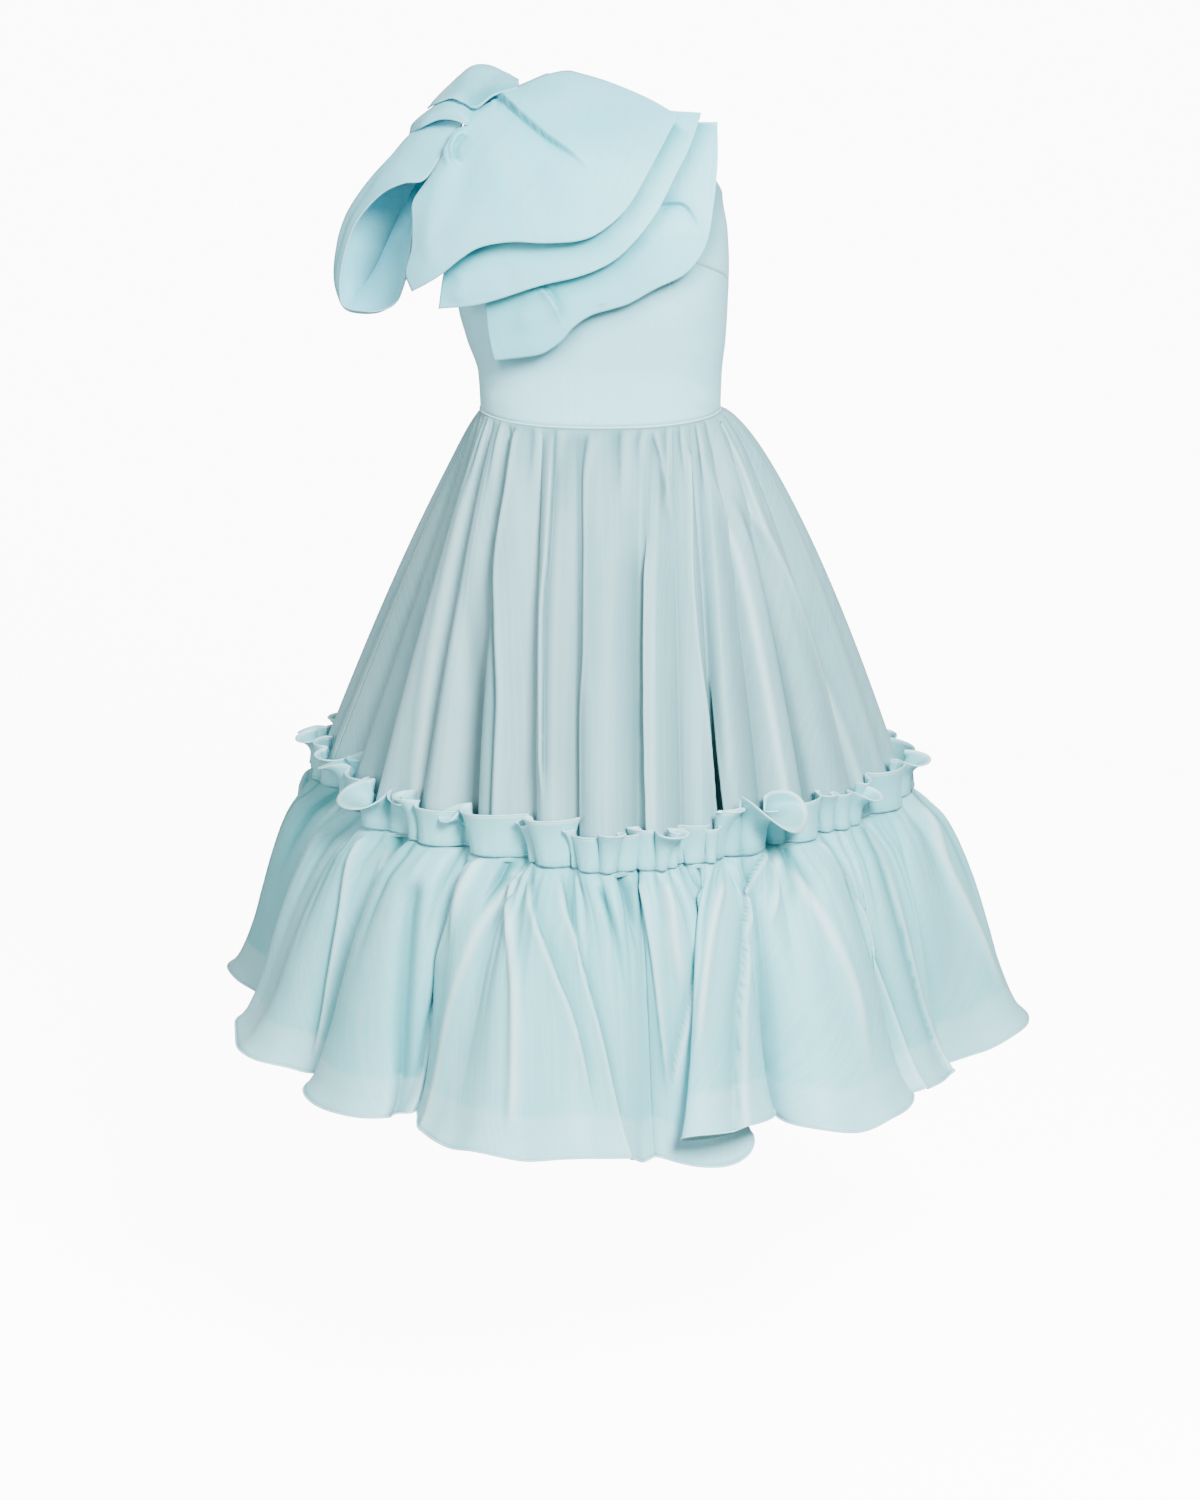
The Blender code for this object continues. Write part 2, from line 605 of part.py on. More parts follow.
def build_frill(collection, finish):
    columns = ring_columns()
    depths = np.array(RUFFLE_DEPTHS)[(columns // GATHER_COLUMNS).astype(int) % len(RUFFLE_DEPTHS)]
    rows = []
    for rise in FRILL_ROWS[::-1]:
        height = FRILL_LIFT + rise * (FRILL_HEIGHT - FRILL_LIFT)
        ring, out = seam_ring(columns, 1 - height / -SEAM_Z)
        wave = GATHER_DEPTH + (depths - GATHER_DEPTH) * rise
        reach = WALL_SKIRT + FRILL_CLEARANCE + wave * gather_wave(columns)
        rows.append(ring + out * reach[:, None])
    build_panels("frill", np.stack(rows), finish, collection)


def hem_ring(columns):
    """Hem of the flounce at skirt columns."""
    rows = np.array(HEM_LOBES, float)
    starts = np.concatenate([[0], np.cumsum(rows[:, 0])])
    place = (columns - HEM_FIRST_COLUMN) % starts[-1]
    lobe = np.searchsorted(starts, place, side="right") - 1
    before, after = np.roll(rows, 1, axis=0), np.roll(rows, -1, axis=0)
    after[-1, 1] += 360
    share = (place - starts[lobe]) / rows[lobe, 0]
    wave = fold_wave(share)
    width = after[lobe, 1] - rows[lobe, 1]
    turn = rows[lobe, 1] + width * share - rows[lobe, 4] * wave
    turn = np.radians(turn - rows[lobe, 5] * np.sin(2 * math.pi * share))
    near = np.where((share < 0.5)[:, None], before[lobe], after[lobe])
    trough = np.where(share < 0.5, rows[lobe, 3], after[lobe, 3])
    blend = LOBE_SHARE_MEAN - LOBE_SHARE_SWING * np.cos(2 * math.pi * share)
    crest = near[:, 2] + (rows[lobe, 2] - near[:, 2]) * blend
    height = near[:, 6] + (rows[lobe, 6] - near[:, 6]) * blend
    radius = (crest - trough * (1 - wave)) * MM
    return np.stack([radius * np.sin(turn), -radius * np.cos(turn), height * MM], axis=-1)


def flounce_row(columns, drop):
    """Outer surface of the flounce at a share of its drop (0 seam, 1 hem)."""
    ring, out = seam_ring(columns)
    fade = max(0.0, 1 - drop / GATHER_FADE) ** GATHER_FADE_POWER
    clear = WALL_SKIRT + FRILL_CLEARANCE
    start = ring + out * (clear + GATHER_DEPTH * fade * gather_wave(columns))[:, None]
    hem = hem_ring(columns)
    flare = float(table(FLOUNCE_FLARE, [drop])[0])
    row = start + (hem - start) * flare
    row[:, 2] = (SEAM_Z - SEAM_GAP) + (hem[:, 2] - SEAM_Z) * drop
    return row


def build_flounce(collection, finish):
    grid = np.stack([flounce_row(ring_columns(), drop) for drop in FLOUNCE_ROWS])
    build_panels("flounce", grid, finish, collection)


# ---------------------------------------------------------------- the gown


def main():
    for obj in list(bpy.data.objects):
        bpy.data.objects.remove(obj, do_unlink=True)
    collection = bpy.data.collections.new("one_shoulder_midi_gown")
    bpy.context.scene.collection.children.link(collection)
    finish = {name: cloth_material("cloth_" + name, colour) for name, colour in CLOTH.items()}
    build_bodice(collection, finish["bodice"])
    build_bow(collection, finish["bow"])
    build_skirt(collection, finish["skirt"])
    build_frill(collection, finish["flounce"])
    build_flounce(collection, finish["flounce"])


main()
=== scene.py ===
"""Looks of the one-shoulder midi gown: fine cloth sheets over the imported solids, dressed and lit.

Metres, +Z up, the wearer faces -Y and the wearer's left is +X. Tables are in millimetres, degrees
and skirt columns: a column is one of 192 places round the skirt, eight to each of its folds,
counted from the right side over the front to the left. A drop runs from 0 at a sheet's upper
seam to 1 at its lower edge.
"""

import logging
import math
from collections.abc import Iterator
from dataclasses import dataclass, field
from enum import Enum
from functools import partial

import bpy
import numpy as np
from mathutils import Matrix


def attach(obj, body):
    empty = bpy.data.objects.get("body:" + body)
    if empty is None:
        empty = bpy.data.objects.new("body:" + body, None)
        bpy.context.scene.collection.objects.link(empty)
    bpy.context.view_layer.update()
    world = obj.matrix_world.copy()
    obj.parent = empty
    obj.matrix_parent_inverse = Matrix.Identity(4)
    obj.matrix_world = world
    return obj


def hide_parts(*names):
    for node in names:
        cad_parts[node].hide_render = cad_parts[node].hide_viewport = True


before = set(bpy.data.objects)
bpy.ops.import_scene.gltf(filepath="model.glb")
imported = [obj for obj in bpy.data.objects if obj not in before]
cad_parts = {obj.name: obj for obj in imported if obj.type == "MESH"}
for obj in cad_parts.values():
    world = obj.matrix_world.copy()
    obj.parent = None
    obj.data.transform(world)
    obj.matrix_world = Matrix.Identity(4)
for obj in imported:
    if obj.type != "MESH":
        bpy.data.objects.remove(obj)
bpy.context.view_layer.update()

LOG = logging.getLogger("gown")
Array = np.ndarray
Row = tuple[float, ...]
Rows = tuple[Row, ...]
Socket = bpy.types.NodeSocket
MM = 0.001
TINY = 1e-12
FULL_TURN = 2 * math.pi
# Fine points read along a curve before they are set evenly, and read along a crease.
CURVE_STEPS = 1200
CREASE_STEPS = 28
# Columns once round the skirt, and how many the frill and the flounce have for each of them.
COLUMNS_ROUND = 192
FRILL_FINER = 7
# Thickness of the skirt, frill and flounce cloth, and how far a gather stands out at the seam.
TIER_WALL = 0.0012
SEAM_GATHER = 0.0040


# ------------------------------------------------------------------ curves and tables


def smooth_values(keys: Array, values: Array, at: Array) -> Array:
    """Monotone cubic interpolation.

    Args:
        keys: Rising places of the known values.
        values: The known values.
        at: Places to read.

    Returns:
        The value at each place.
    """
    step = np.diff(keys)
    slope = np.diff(values) / step
    tangent = np.zeros(len(keys))
    tangent[1:-1] = np.where(
        slope[1:] * slope[:-1] > 0,
        2 * slope[1:] * slope[:-1] / (slope[1:] + slope[:-1] + TINY * np.sign(slope[1:] + 1e-30)),
        0.0,
    )
    tangent[0] = slope[0]
    tangent[-1] = slope[-1]
    at = np.clip(at, keys[0], keys[-1])
    left = np.clip(np.searchsorted(keys, at, side="right") - 1, 0, len(step) - 1)
    t = (at - keys[left]) / step[left]
    return (
        values[left] * (1 + 2 * t) * (1 - t) ** 2
        + tangent[left] * step[left] * t * (1 - t) ** 2
        + values[left + 1] * t * t * (3 - 2 * t)
        + tangent[left + 1] * step[left] * t * t * (t - 1)
    )


def table(rows: Rows, at: Array) -> Array:
    """Values of a two-column table at the places given, smooth between its rows."""
    known = np.asarray(rows, float)
    return smooth_values(known[:, 0], known[:, 1], np.asarray(at, float))


def wrapped_table(rows: Rows, at: Array) -> Array:
    """Values of a two-column table over a full turn of bearings.

    Args:
        rows: Bearing from -180 to 180 and value.
        at: Bearings to read, in degrees.

    Returns:
        The value at each bearing.
    """
    known = np.asarray(rows, float)
    wide = np.concatenate([known[:-1] - (360, 0), known, known[1:] + (360, 0)])
    _, first = np.unique(wide[:, 0], return_index=True)
    return smooth_values(wide[first, 0], wide[first, 1], np.asarray(at, float))


def curve(points: Array, shares: Array, closed: bool = False) -> Array:
    """Catmull-Rom curve through points.

    Args:
        points: The points that the curve passes.
        shares: Places from 0 to 1 along its index length.
        closed: Whether the last point joins the first.

    Returns:
        A point for each share.
    """
    points = np.asarray(points, float)
    shares = np.asarray(shares, float)
    if closed:
        points = np.concatenate([points[-1:], points, points[:2]])
    else:
        before, after = 2 * points[0] - points[1], 2 * points[-1] - points[-2]
        points = np.concatenate([[before], points, [after]])
    at = shares * (len(points) - 3)
    left = np.clip(at.astype(int), 0, len(points) - 4)
    t = (at - left)[:, None]
    a, b, c, d = (points[left + k] for k in range(4))
    return 0.5 * (
        2 * b + (c - a) * t + (2 * a - 5 * b + 4 * c - d) * t**2 + (3 * b - a - 3 * c + d) * t**3
    )


def even_curve(points: Array, count: int, closed: bool = False) -> Array:
    """The same curve at places that are evenly far apart along it.

    Args:
        points: The points that the curve passes.
        count: How many places to read.
        closed: Whether the last point joins the first.

    Returns:
        The points read.
    """
    fine = curve(points, np.linspace(0, 1, CURVE_STEPS), closed)
    run = np.concatenate([[0], np.cumsum(np.linalg.norm(np.diff(fine, axis=0), axis=1))])
    at = np.linspace(0, run[-1], count + 1)[:-1] if closed else np.linspace(0, run[-1], count)
    return np.stack([np.interp(at, run, fine[:, k]) for k in range(fine.shape[1])], axis=1)


def ring_noise(place: Array, knots: int, seed: int) -> Array:
    """Smooth random values from -1 to 1 round a ring.

    Args:
        place: Places, where 0 and 1 are the same.
        knots: How many random values stand round the ring.
        seed: Fixed seed.

    Returns:
        The value at each place.
    """
    values = np.random.default_rng(seed).uniform(-1, 1, knots)
    at = (place % 1.0) * knots
    left = np.floor(at).astype(int) % knots
    t = at - np.floor(at)
    t = t * t * (3 - 2 * t)
    return values[left] * (1 - t) + values[(left + 1) % knots] * t


def uneven_ridges(
    place: Array, count: int, seed: int, jitter: float = 0.32, narrow: float = 1.2
) -> Array:
    """Ridges of uneven spacing and height round a ring, 0 in the troughs and up to 1 on top.

    Args:
        place: Places, where 0 and 1 are the same.
        count: How many ridges.
        seed: Fixed seed.
        jitter: How far a ridge may stray, as a share of the spacing.
        narrow: Above 1 for narrow ridges, below 1 for broad ones with narrow troughs.

    Returns:
        The height at each place.
    """
    rng = np.random.default_rng(seed)
    tops = (np.arange(count) + rng.uniform(-jitter, jitter, count)) / count
    height = rng.uniform(0.35, 1.0, count)
    wide_tops = np.concatenate([tops - 1, tops, tops + 1])
    wide_height = np.concatenate([height, height, height])
    at = place % 1.0
    left = np.searchsorted(wide_tops, at, side="right") - 1
    t = (at - wide_tops[left]) / (wide_tops[left + 1] - wide_tops[left])
    level = wide_height[left] * (1 - t) + wide_height[left + 1] * t
    return level * (0.5 + 0.5 * np.cos(FULL_TURN * t)) ** narrow


def soft_step(value: Array, low: float, high: float) -> Array:
    """0 below low, 1 above high and smooth between them."""
    t = np.clip((value - low) / (high - low), 0, 1)
    return t * t * (3 - 2 * t)


def unit(vectors: Array) -> Array:
    """The same directions at length one."""
    return vectors / np.maximum(np.linalg.norm(vectors, axis=-1, keepdims=True), TINY)


def grid_normals(points: Array, closed: bool) -> Array:
    """Outward directions of a grid whose rows run down and columns to the wearer's left.

    Args:
        points: Rows by columns by three.
        closed: Whether the last column joins the first.

    Returns:
        A direction for each point.
    """
    down = np.gradient(points, axis=0)
    if closed:
        across = (np.roll(points, -1, axis=1) - np.roll(points, 1, axis=1)) / 2
    else:
        across = np.gradient(points, axis=1)
    return unit(np.cross(down, across))


# ------------------------------------------------------------------ creases


class Crease(Enum):
    """How a crease runs across the cloth."""

    TROUGH = "soft hollow line"
    RIDGE = "soft raised line"
    LAP = "cloth on the right of the line lies over the rest"
    LAP_LEFT = "cloth on the left of the line lies over the rest"


TROUGH, RIDGE, LAP, LAP_LEFT = Crease
# Distances in mm: over which a lap's shade ends on top of it, and how far ridges and laps shine.
LAP_EDGE = 0.9
RIDGE_SHINE = 5.5
LAP_SHINE = 4


@dataclass(frozen=True)
class Fold:
    """One crease laid along a given path.

    Attributes:
        kind: How it runs across the cloth.
        path: Points along it, in the two coordinates of the sheet that it lies on.
        width: How far it spreads to a side, in mm.
        depth: How far it moves the cloth, in mm.
        fade_in: Share of its length over which it begins.
        fade_out: Share of its length over which it ends.
        shade_reach: How far the shade beside it spreads, in mm.
    """

    kind: Crease
    path: Rows
    width: float
    depth: float
    fade_in: float = 0.15
    fade_out: float = 0.25
    shade_reach: float = 7.0

    def _across(self, first: Array, second: Array) -> tuple[Array, Array]:
        """Where each place lies beside the crease.

        Args:
            first: First coordinate of each place on the sheet.
            second: Second coordinate of each place.

        Returns:
            Signed distance in mm, above 0 on the cloth that lies over, and how strong it is.
        """
        points = even_curve(self.path, CREASE_STEPS)
        a, b = points[:-1], points[1:]
        place = np.stack([first, second], axis=-1)[..., None, :]
        along = b - a
        t = np.clip(((place - a) * along).sum(-1) / (along**2).sum(-1), 0, 1)
        offset = place - (a + along * t[..., None])
        far = np.linalg.norm(offset, axis=-1)
        near = far.argmin(-1)[..., None]
        distance = np.take_along_axis(far, near, -1)[..., 0]
        turn = along[..., 0] * offset[..., 1] - along[..., 1] * offset[..., 0]
        side = np.sign(np.take_along_axis(turn, near, -1)[..., 0])
        share = (np.take_along_axis(t, near, -1)[..., 0] + near[..., 0]) / len(a)
        level = soft_step(share, -1e-6, self.fade_in)
        level = level * (1 - soft_step(share, 1 - self.fade_out, 1.0))
        return distance * side * (-1 if self.kind is LAP else 1), level

    def _lap(self, beside: Array) -> Array:
        """Cross form of a lap.

        Args:
            beside: Signed distance of each place in mm, above 0 on the cloth that lies over.

        Returns:
            From -1 below the lap to 1 on it.
        """
        signed = beside / self.width
        form = np.where(signed > 0, np.exp(-signed * 1.6), -0.5 * np.exp(signed * 3.2))
        sharp = np.clip(np.abs(beside) / 1.2, 0, 1)
        return form * sharp + (1 - sharp) * 0.25

    def rise(self, *place: Array) -> Array:
        """How far the crease moves the cloth outwards.

        Args:
            place: Where each point lies, as in _across.

        Returns:
            The movement of each point in metres.
        """
        beside, level = self._across(*place)
        if self.kind in (LAP, LAP_LEFT):
            form = self._lap(beside)
        else:
            form = (1 if self.kind is RIDGE else -1) * np.exp(-((beside / self.width) ** 2) * 2)
        return form * level * self.depth * MM

    def shade(self, *place: Array) -> Array:
        """How much painted shade each point gets in the crease and on the under side of a lap.

        Args:
            place: Where each point lies, as in _across.

        Returns:
            From 0 on open cloth to 1 in the crease.
        """
        beside, level = self._across(*place)
        if self.kind is RIDGE:
            return 0 * beside
        if self.kind is TROUGH:
            return level * np.exp(-((beside / self.shade_reach) ** 2))
        under, top = np.exp(beside / self.shade_reach), np.exp(-beside / LAP_EDGE)
        return level * np.where(beside < 0, under, top)

    def shine(self, *place: Array) -> Array:
        """How strongly the satin catches the light beside the crease.

        Args:
            place: Where each point lies, as in _across.

        Returns:
            From 0 on open cloth to 1.
        """
        beside, level = self._across(*place)
        if self.kind is TROUGH:
            return 0 * beside
        if self.kind is RIDGE:
            return level * np.exp(-((beside / RIDGE_SHINE) ** 2))
        streak = np.exp(-(((beside - LAP_SHINE) / LAP_SHINE) ** 2))
        return 0.6 * level * np.where(beside > 0, streak, 0)


@dataclass(frozen=True)
class Pleat(Fold):
    """One crease down a gathered tier: its path is in drops and columns, its fades in drops."""

    fade_in: float = 0.03
    fade_out: float = 0.12
    shade_reach: float = 9.0

    def _across(self, columns: Array, drops: Array, column_width: Array) -> tuple[Array, Array]:
        """Where each place lies beside the crease.

        Args:
            columns: Column of each place of the tier, by rows.
            drops: Drop of each row.
            column_width: Width of a column at each row, in mm.

        Returns:
            Signed distance in mm, above 0 on the cloth that lies over, and how strong it is.
        """
        first, last = self.path[0][0], self.path[-1][0]
        beside = (columns - table(self.path, drops)[:, None]) * column_width[:, None]
        level = soft_step(drops, first - 1e-6, first + self.fade_in)
        if last < 1:
            level = level * (1 - soft_step(drops, last - self.fade_out, last))
        return beside * (-1 if self.kind is LAP_LEFT else 1), level[:, None]

    def _lap(self, beside: Array) -> Array:
        """Cross form of a lap.

        Args:
            beside: Signed distance of each place in mm, above 0 on the cloth that lies over.

        Returns:
            From -1 below the lap to 1 on it.
        """
        signed = beside / self.width
        over = soft_step(beside, -3.5, 3.5)
        form = over * np.exp(-np.maximum(signed, 0) * 1.5)
        return form - 0.7 * (1 - over) * np.exp(np.minimum(signed, 0) * 2.6)


Folds = tuple[Fold, ...]


def spots(places: Rows, first: Array, second: Array) -> Array:
    """Small soft-edged spots on a sheet.

    Args:
        places: For each one its two coordinates, its two half widths and its strength.
        first: First coordinate of each place on the sheet.
        second: Second coordinate of each place.

    Returns:
        How strongly each place is marked.
    """
    mark = 0 * (first + second)
    for across, down, wide, tall, strength in places:
        near = ((first - across) / wide) ** 2 + ((second - down) / tall) ** 2
        mark = np.maximum(mark, strength * np.exp(-(near**1.5)))
    return mark


# ------------------------------------------------------------------ the body under the cloth


@dataclass
class Torso:
    """Sizes of the worn form that the bodice and the waist follow."""

    # Each section: z, right, left, front and back, in mm.
    sections: Rows = (
        (-15, 136, 137, 97, 88), (0, 136, 137, 97, 88), (40, 138, 138, 98, 90),
        (80, 151, 142, 106, 94), (120, 160, 144, 115, 98), (160, 160, 145, 119, 101),
        (200, 158, 143, 117, 102), (240, 157, 137, 110, 100), (390, 157, 137, 96, 96),
    )
    round_power: float = 2.5
    shoulder_z: float = 0.371
    shoulder_fall: float = 0.42
    shoulder_neck_x: float = 0.060
    shoulder_spring_z: float = 0.200
    shoulder_y: float = 0.005
    shoulder_gap: float = 0.0016
    chest_z: float = 0.384
    chest_fall: float = 0.192
    chest_neck_x: float = 0.100
    arm_reach: float = 0.260
    waist_dip: float = 0.011
    seam_gap: float = 0.0005

    def size(self, column: int, z: Array) -> Array:
        """A size of the section at each height."""
        known = np.array(self.sections) * MM
        return smooth_values(known[:, 0], known[:, column], np.asarray(z, float))

    def rounding(self, share: Array) -> Array:
        """Superellipse: 1 in the middle, 0 where the share reaches 1."""
        return np.maximum(1 - np.abs(share) ** self.round_power, 0) ** (1 / self.round_power)

    def closing(self, z: Array, ridge: Array) -> Array:
        """How the depth closes towards a ridge above the shoulder's spring."""
        spring = self.shoulder_spring_z
        return self.rounding(np.clip((z - spring) / (ridge - spring), 0, 1))

    def shift(self, z: Array) -> Array:
        """How far the middle of the section lies behind the axis."""
        run = (z - self.shoulder_spring_z) / (self.shoulder_z - self.shoulder_spring_z)
        return self.shoulder_y * np.clip(run, 0, 1)

    def bodice_point(self, across: Array, z: Array, side: int) -> Array:
        """Outer surface of the bodice.

        Args:
            across: From -1 at the right side seam to 1 at the left one.
            z: Heights.
            side: -1 for the front, 1 for the back.

        Returns:
            A point for each place.
        """
        turn = across * math.pi / 2
        share = np.sign(turn) * np.abs(np.sin(turn)) ** (2 / self.round_power)
        x = np.where(across < 0, self.size(1, z), self.size(2, z)) * share
        outside = np.maximum(np.abs(x) - self.shoulder_neck_x, 0)
        ridge = self.shoulder_z - self.shoulder_fall * outside
        z = np.minimum(z, ridge)
        depth = self.size(3 if side < 0 else 4, z)
        reach = depth * np.abs(np.cos(turn)) ** (2 / self.round_power) * self.closing(z, ridge)
        reach = np.where(np.abs(across) < 1, np.maximum(reach, self.shoulder_gap / 2), reach)
        return np.stack([x, side * reach + self.shift(z), z], axis=-1)

    def chest_y(self, x: Array, z: Array) -> Array:
        """Front of the body with its arm, that the bow leaves lie over.

        Args:
            x: Places across.
            z: Heights.

        Returns:
            How far forward the body reaches at each place.
        """
        ridge = self.chest_z - self.chest_fall * np.maximum(np.abs(x) - self.chest_neck_x, 0)
        reach = self.size(3, z) * self.rounding(x / self.arm_reach) * self.closing(z, ridge)
        return self.shift(z) - reach

    def waist_z(self, across: Array) -> Array:
        """Height of the waist seam on the front."""
        return -self.waist_dip * np.maximum(np.cos(across * math.pi / 2), 0) ** 1.5

    def waist_ring(self, bearing: Array) -> Array:
        """Outer edge of the waist seam.

        Args:
            bearing: Bearings from the front, in degrees.

        Returns:
            A point for each bearing.
        """
        turn = np.radians((bearing + 180) % 360 - 180)
        front = np.abs(turn) <= math.pi / 2
        across = np.where(front, turn, np.sign(turn) * math.pi - turn) / (math.pi / 2)
        ring = np.where(
            front[..., None],
            self.bodice_point(across, self.waist_z(across), -1),
            self.bodice_point(across, np.zeros_like(across), 1),
        )
        ring[..., 2] -= self.seam_gap
        return ring


# ------------------------------------------------------------------ materials


class Mark(Enum):
    """Values kept on a sheet's points, read by its finish: painted shade, a paler hem with painted
    highlights, and real stains.
    """

    # Painted shade in folds, pinches, under laps and under leaf edges.
    HOLLOW = "hollow"
    # The single-layer hem, painted paler for the light through it, and painted highlights on ridges
    # and laps.
    BAND = "band"
    # Painted highlight along turned edges.
    EDGE = "edge"
    STAIN = "stain"


def add_node(
    tree: bpy.types.NodeTree,
    kind: str,
    inputs: dict[str | int, object] | None = None,
    **settings: object,
) -> bpy.types.Node:
    """Adds a node to a tree.

    Args:
        tree: The tree.
        kind: Type of the node.
        inputs: For an input's name or number, the socket that it is joined to or its constant.
        settings: The node's own settings.

    Returns:
        The node.
    """
    made = tree.nodes.new(kind)
    for label, value in settings.items():
        setattr(made, label, value)
    for label, value in (inputs or {}).items():
        if isinstance(value, Socket):
            tree.links.new(value, made.inputs[label])
        else:
            made.inputs[label].default_value = value
    return made


def new_material(
    name: str, constants: dict[str, object]
) -> tuple[bpy.types.Material, bpy.types.Node]:
    """Starts a material.

    Args:
        name: Name of the material.
        constants: Constants on the shader's own sockets.

    Returns:
        The material and its shader.
    """
    material = bpy.data.materials.new(name)
    material.use_nodes = True
    shader = material.node_tree.nodes["Principled BSDF"]
    for label, value in constants.items():
        shader.inputs[label].default_value = value
    return material, shader


@dataclass(frozen=True)
class ClothFinish:
    """Soft satin with a fine weave, drawn from its colours and threads.

    Attributes:
        name: Name of the material.
        light: Colour where the nap lies smooth.
        deep: Colour of its slight clouding.
        hollow: Colour of the painted shade in folds, under laps and under the edges of leaves.
        band: Pale colour of the weave's slubs, of the single-layer hem, painted paler for the light
            through it, and of painted highlights.
        stain: Colour of a small stain.
        roughness: Roughness of the satin face.
        thread: Width of a thread of the weave in metres.
        slub_scale: How often the weave's thick threads change across, along and through it.
    """

    name: str
    light: Row
    deep: Row
    # hollow is the colour of painted shade; band is the pale colour of the hem and of painted
    # highlights.
    hollow: Row = (0.30, 0.47, 0.50, 1.0)
    band: Row = (0.44, 0.64, 0.70, 1.0)
    stain: Row = (0.36, 0.36, 0.33, 1.0)
    roughness: float = 0.46
    thread: float = 0.0006
    slub_scale: Row = (230.0, 6.0, 1.0)

    def _noise(
        self, tree: bpy.types.NodeTree, place: Socket, scale: float, detail: float
    ) -> Socket:
        """Noise of that scale and detail at the places given."""
        inputs = {"Vector": place, "Scale": scale, "Detail": detail}
        return add_node(tree, "ShaderNodeTexNoise", inputs).outputs["Fac"]

    def _share(
        self, tree: bpy.types.NodeTree, noise: Socket, low: float, high: float, most: float
    ) -> Socket:
        """0 where the noise is low, up to the most where it is high."""
        inputs = {"Value": noise, "From Min": low, "From Max": high, "To Max": most}
        return add_node(tree, "ShaderNodeMapRange", inputs).outputs["Result"]

    def material(self) -> bpy.types.Material:
        """Builds the material.

        Returns:
            The finished material.
        """
        material, shader = new_material(
            self.name, {"Sheen Weight": 0.10, "Sheen Roughness": 0.38, "Specular IOR Level": 0.30}
        )
        tree = material.node_tree
        node = partial(add_node, tree)
        place = node("ShaderNodeTexCoord").outputs["Object"]
        cloth = node("ShaderNodeUVMap", uv_map="cloth").outputs["UV"]
        clouds = self._noise(tree, place, 7.0, 4.0)
        stretch = node("ShaderNodeMapping", {"Vector": cloth, "Scale": self.slub_scale})
        slub = self._noise(tree, stretch.outputs["Vector"], 1.0, 3.0)

        layers = [
            (self._share(tree, clouds, 0.40, 0.66, 0.55), self.deep),
            (self._share(tree, slub, 0.45, 0.75, 0.22), self.band),
        ]
        # Over the colour, by their marks: painted shade, the paler hem with painted highlights,
        # painted edge highlights and real stains.
        tints = {
            Mark.HOLLOW: self.hollow, Mark.BAND: self.band, Mark.EDGE: self.band,
            Mark.STAIN: self.stain,
        }
        for mark, tint in tints.items():
            reader = node("ShaderNodeAttribute", attribute_name=mark.value)
            layers.append((reader.outputs["Fac"], tint))
        colour = self.light
        for share, tint in layers:
            mix = node("ShaderNodeMix", {0: share, 6: colour, 7: tint}, data_type="RGBA")
            colour = mix.outputs[2]

        ends = {"To Min": self.roughness - 0.07, "To Max": self.roughness + 0.11}
        rough = node("ShaderNodeMapRange", {"Value": slub, **ends})
        fine = {"Vector": cloth, "Scale": math.pi / 10 / self.thread, "Distortion": 0.6}
        threads = [
            node("ShaderNodeTexWave", fine, bands_direction=way).outputs["Fac"] for way in "XY"
        ]
        weave = node("ShaderNodeMath", dict(enumerate(threads)), operation="ADD").outputs[0]
        rumple = self._noise(tree, place, 26.0, 3.0)
        soft = node("ShaderNodeBump", {"Height": rumple, "Strength": 0.22, "Distance": 0.004})
        relief = {"Height": weave, "Strength": 0.10, "Distance": 0.00025}
        bump = node("ShaderNodeBump", {**relief, "Normal": soft.outputs["Normal"]})
        for label, source in (
            ("Base Color", colour),
            ("Roughness", rough.outputs["Result"]),
            ("Normal", bump.outputs["Normal"]),
        ):
            tree.links.new(source, shader.inputs[label])
        return material


# In each finish, hollow is its colour of painted shade and band its colour of the paler hem and
# painted highlights.
BOW_SATIN = ClothFinish(
    "bow_satin", light=(0.21, 0.68, 0.79, 1.0), deep=(0.14, 0.60, 0.72, 1.0),
    hollow=(0.03, 0.38, 0.44, 1.0), roughness=0.42,
)
BODICE_SATIN = ClothFinish(
    "bodice_satin", light=(0.36, 0.80, 0.90, 1.0), deep=(0.30, 0.75, 0.86, 1.0),
    hollow=(0.14, 0.42, 0.48, 1.0),
)
SKIRT_SATIN = ClothFinish(
    "skirt_satin", light=(0.21, 0.44, 0.48, 1.0), deep=(0.14, 0.36, 0.40, 1.0),
    hollow=(0.06, 0.18, 0.20, 1.0), band=(0.42, 0.66, 0.71, 1.0),
)
FLOUNCE_SATIN = ClothFinish(
    "flounce_satin", light=(0.24, 0.66, 0.72, 1.0), deep=(0.16, 0.60, 0.66, 1.0),
    hollow=(0.04, 0.28, 0.31, 1.0), band=(0.58, 0.84, 0.90, 1.0), roughness=0.44,
)
TURNED_EDGE = ClothFinish(
    "turned_edge", light=(0.46, 0.80, 0.86, 1.0), deep=(0.38, 0.76, 0.83, 1.0), roughness=0.40
)


@dataclass(frozen=True)
class FloorFinish:
    """Plain pale floor."""

    name: str = "pale_floor"
    colour: Row = (0.96, 0.955, 0.95, 1.0)
    glow: float = 11.0

    def material(self) -> bpy.types.Material:
        """Builds the material.

        Returns:
            The finished material.
        """
        constants = {
            "Base Color": self.colour, "Roughness": 0.9, "Specular IOR Level": 0.1,
            "Emission Color": self.colour, "Emission Strength": self.glow,
        }
        return new_material(self.name, constants)[0]


# ------------------------------------------------------------------ geometry node trees


